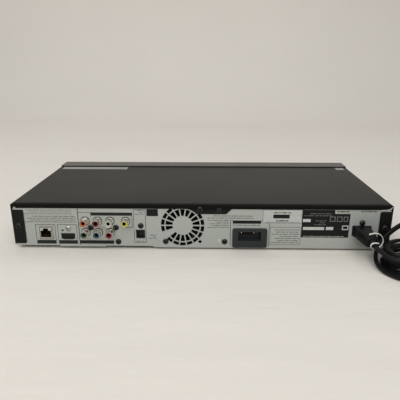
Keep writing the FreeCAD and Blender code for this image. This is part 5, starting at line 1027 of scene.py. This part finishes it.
# Twist tie: a white plastic strip over wire, looped loosely round the end of the
# connector, with its far end turned once round the cord.
TIE_RADIUS, TIE_Y = 9.3, 130.6
TIE_X, TIE_Z = INLET_X - 3.3, INLET_Z + 0.7
TIE_START, TIE_TURN, TIE_STEPS = 66, 172, 10
tie_white = moulded("tie_white", (0.7, 0.7, 0.66), 0.35, 1100.0, 0.03, 0.04)
tie_route = [(TIE_X + 5.4, TIE_Y - 1.6, TIE_Z + 7.0)]
for step in range(TIE_STEPS + 1):
    angle = radians(TIE_START + TIE_TURN * step / TIE_STEPS)
    tie_route.append((TIE_X + TIE_RADIUS * cos(angle), TIE_Y, TIE_Z + TIE_RADIUS * sin(angle)))
tie_route += [
    (INLET_X - 4.5, 136.0, INLET_Z - 5.8),
    (INLET_X + 0.5, 139.6, INLET_Z - 4.4),
    (INLET_X + 4.4, 141.2, INLET_Z - 1.2),
    (INLET_X + 3.6, 141.8, INLET_Z + 2.8),
    (INLET_X - 0.4, 142.2, INLET_Z + 3.9),
    (INLET_X - 3.4, 142.4, INLET_Z + 3.3),
]
tie_section = [(1.1, -0.2), (1.1, 0.2), (0.4, 0.4), (-0.4, 0.4), (-1.1, 0.2), (-1.1, -0.2)]
tie_line = smooth_line(tie_route)
tie = swept("twist_tie", tie_line, tie_section, (0, 1, 0), tie_white, "case", "tie_pvc")
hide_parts("cord_tie")

# Studio: a pale cloth floor that sweeps up beyond the player, two soft lamps, and a
# camera that looks at the player's rear from above. Its own sizes are in metres.
FLOOR_NEAR, FLOOR_FAR, FLOOR_SIDE, WALL_TOP, SWEEP = 3.0, -0.9, 3.0, 3.0, 0.5
SWEEP_STEPS = 12


def cloth_finish():
    finish = Finish("floor_cloth", (0.78, 0.75, 0.7), 0.9)
    finish.set("Base Color", finish.shades(finish.noise(3.0, 4.0), 0.95, 1.02))
    creases = finish.noise(5.0, 5.0, (0.5, 1.6, 1.0))
    finish.bump(creases + finish.noise(900.0, 2.0) * 0.012, 0.5, 14.0)
    return finish.material


def sweep_floor():
    data = bpy.data.meshes.new("floor")
    profile = [(FLOOR_NEAR, 0.0), (FLOOR_FAR, 0.0)]
    for step in range(SWEEP_STEPS + 1):
        angle = radians(90 * step / SWEEP_STEPS)
        profile.append((FLOOR_FAR - SWEEP * sin(angle), SWEEP - SWEEP * cos(angle)))
    profile.append((FLOOR_FAR - SWEEP, WALL_TOP))
    points = [(x, y, z) for x in (-FLOOR_SIDE, FLOOR_SIDE) for y, z in profile]
    count = len(profile)
    faces = [(i, i + 1, count + i + 1, count + i) for i in range(count - 1)]
    data.from_pydata(points, [], faces)
    data.materials.append(cloth_finish())
    data.polygons.foreach_set("use_smooth", [True] * len(data.polygons))
    floor = bpy.data.objects.new("floor", data)
    bpy.context.scene.collection.objects.link(floor)


def lamp(name, position, target, size, power, colour=(1.0, 1.0, 1.0)):
    data = bpy.data.lights.new(name, "AREA")
    data.shape = "RECTANGLE"
    data.size, data.size_y = size
    data.energy = power
    data.color = colour
    light = bpy.data.objects.new(name, data)
    light.location = position
    towards = Vector(target) - Vector(position)
    light.rotation_euler = towards.to_track_quat("-Z", "Y").to_euler()
    bpy.context.scene.collection.objects.link(light)


sweep_floor()
lamp("window_light", (0.2, -0.7, 1.5), (0.0, -0.1, 0.0), (2.2, 1.2), 6.0)
lamp("room_light", (0.2, 1.5, 1.6), (0.0, 0.1, 0.0), (2.6, 1.4), 38.5, (1.0, 0.99, 0.965))
world = bpy.data.worlds.new("room")
bpy.context.scene.world = world
world.use_nodes = True
glow = world.node_tree.nodes["Background"]
glow.inputs["Color"].default_value = (1.0, 0.98, 0.96, 1)
glow.inputs["Strength"].default_value = 0.26
camera_data = bpy.data.cameras.new("camera")
camera_data.sensor_width = 36
camera_data.lens = 39.153
camera = bpy.data.objects.new("camera", camera_data)
bpy.context.scene.collection.objects.link(camera)
yaw, pitch, roll = radians(1.189), radians(17.995), radians(-0.048)
ahead = Vector((sin(yaw) * cos(pitch), -cos(yaw) * cos(pitch), -sin(pitch)))
camera.rotation_mode = "QUATERNION"
camera.rotation_quaternion = (
    ahead.to_track_quat("-Z", "Y") @ Matrix.Rotation(roll, 3, "Z").to_quaternion()
)
camera.location = Vector((-9.193, 561.494, 210.694)) * MM
bpy.context.scene.camera = camera
bpy.context.scene.view_settings.view_transform = "Standard"
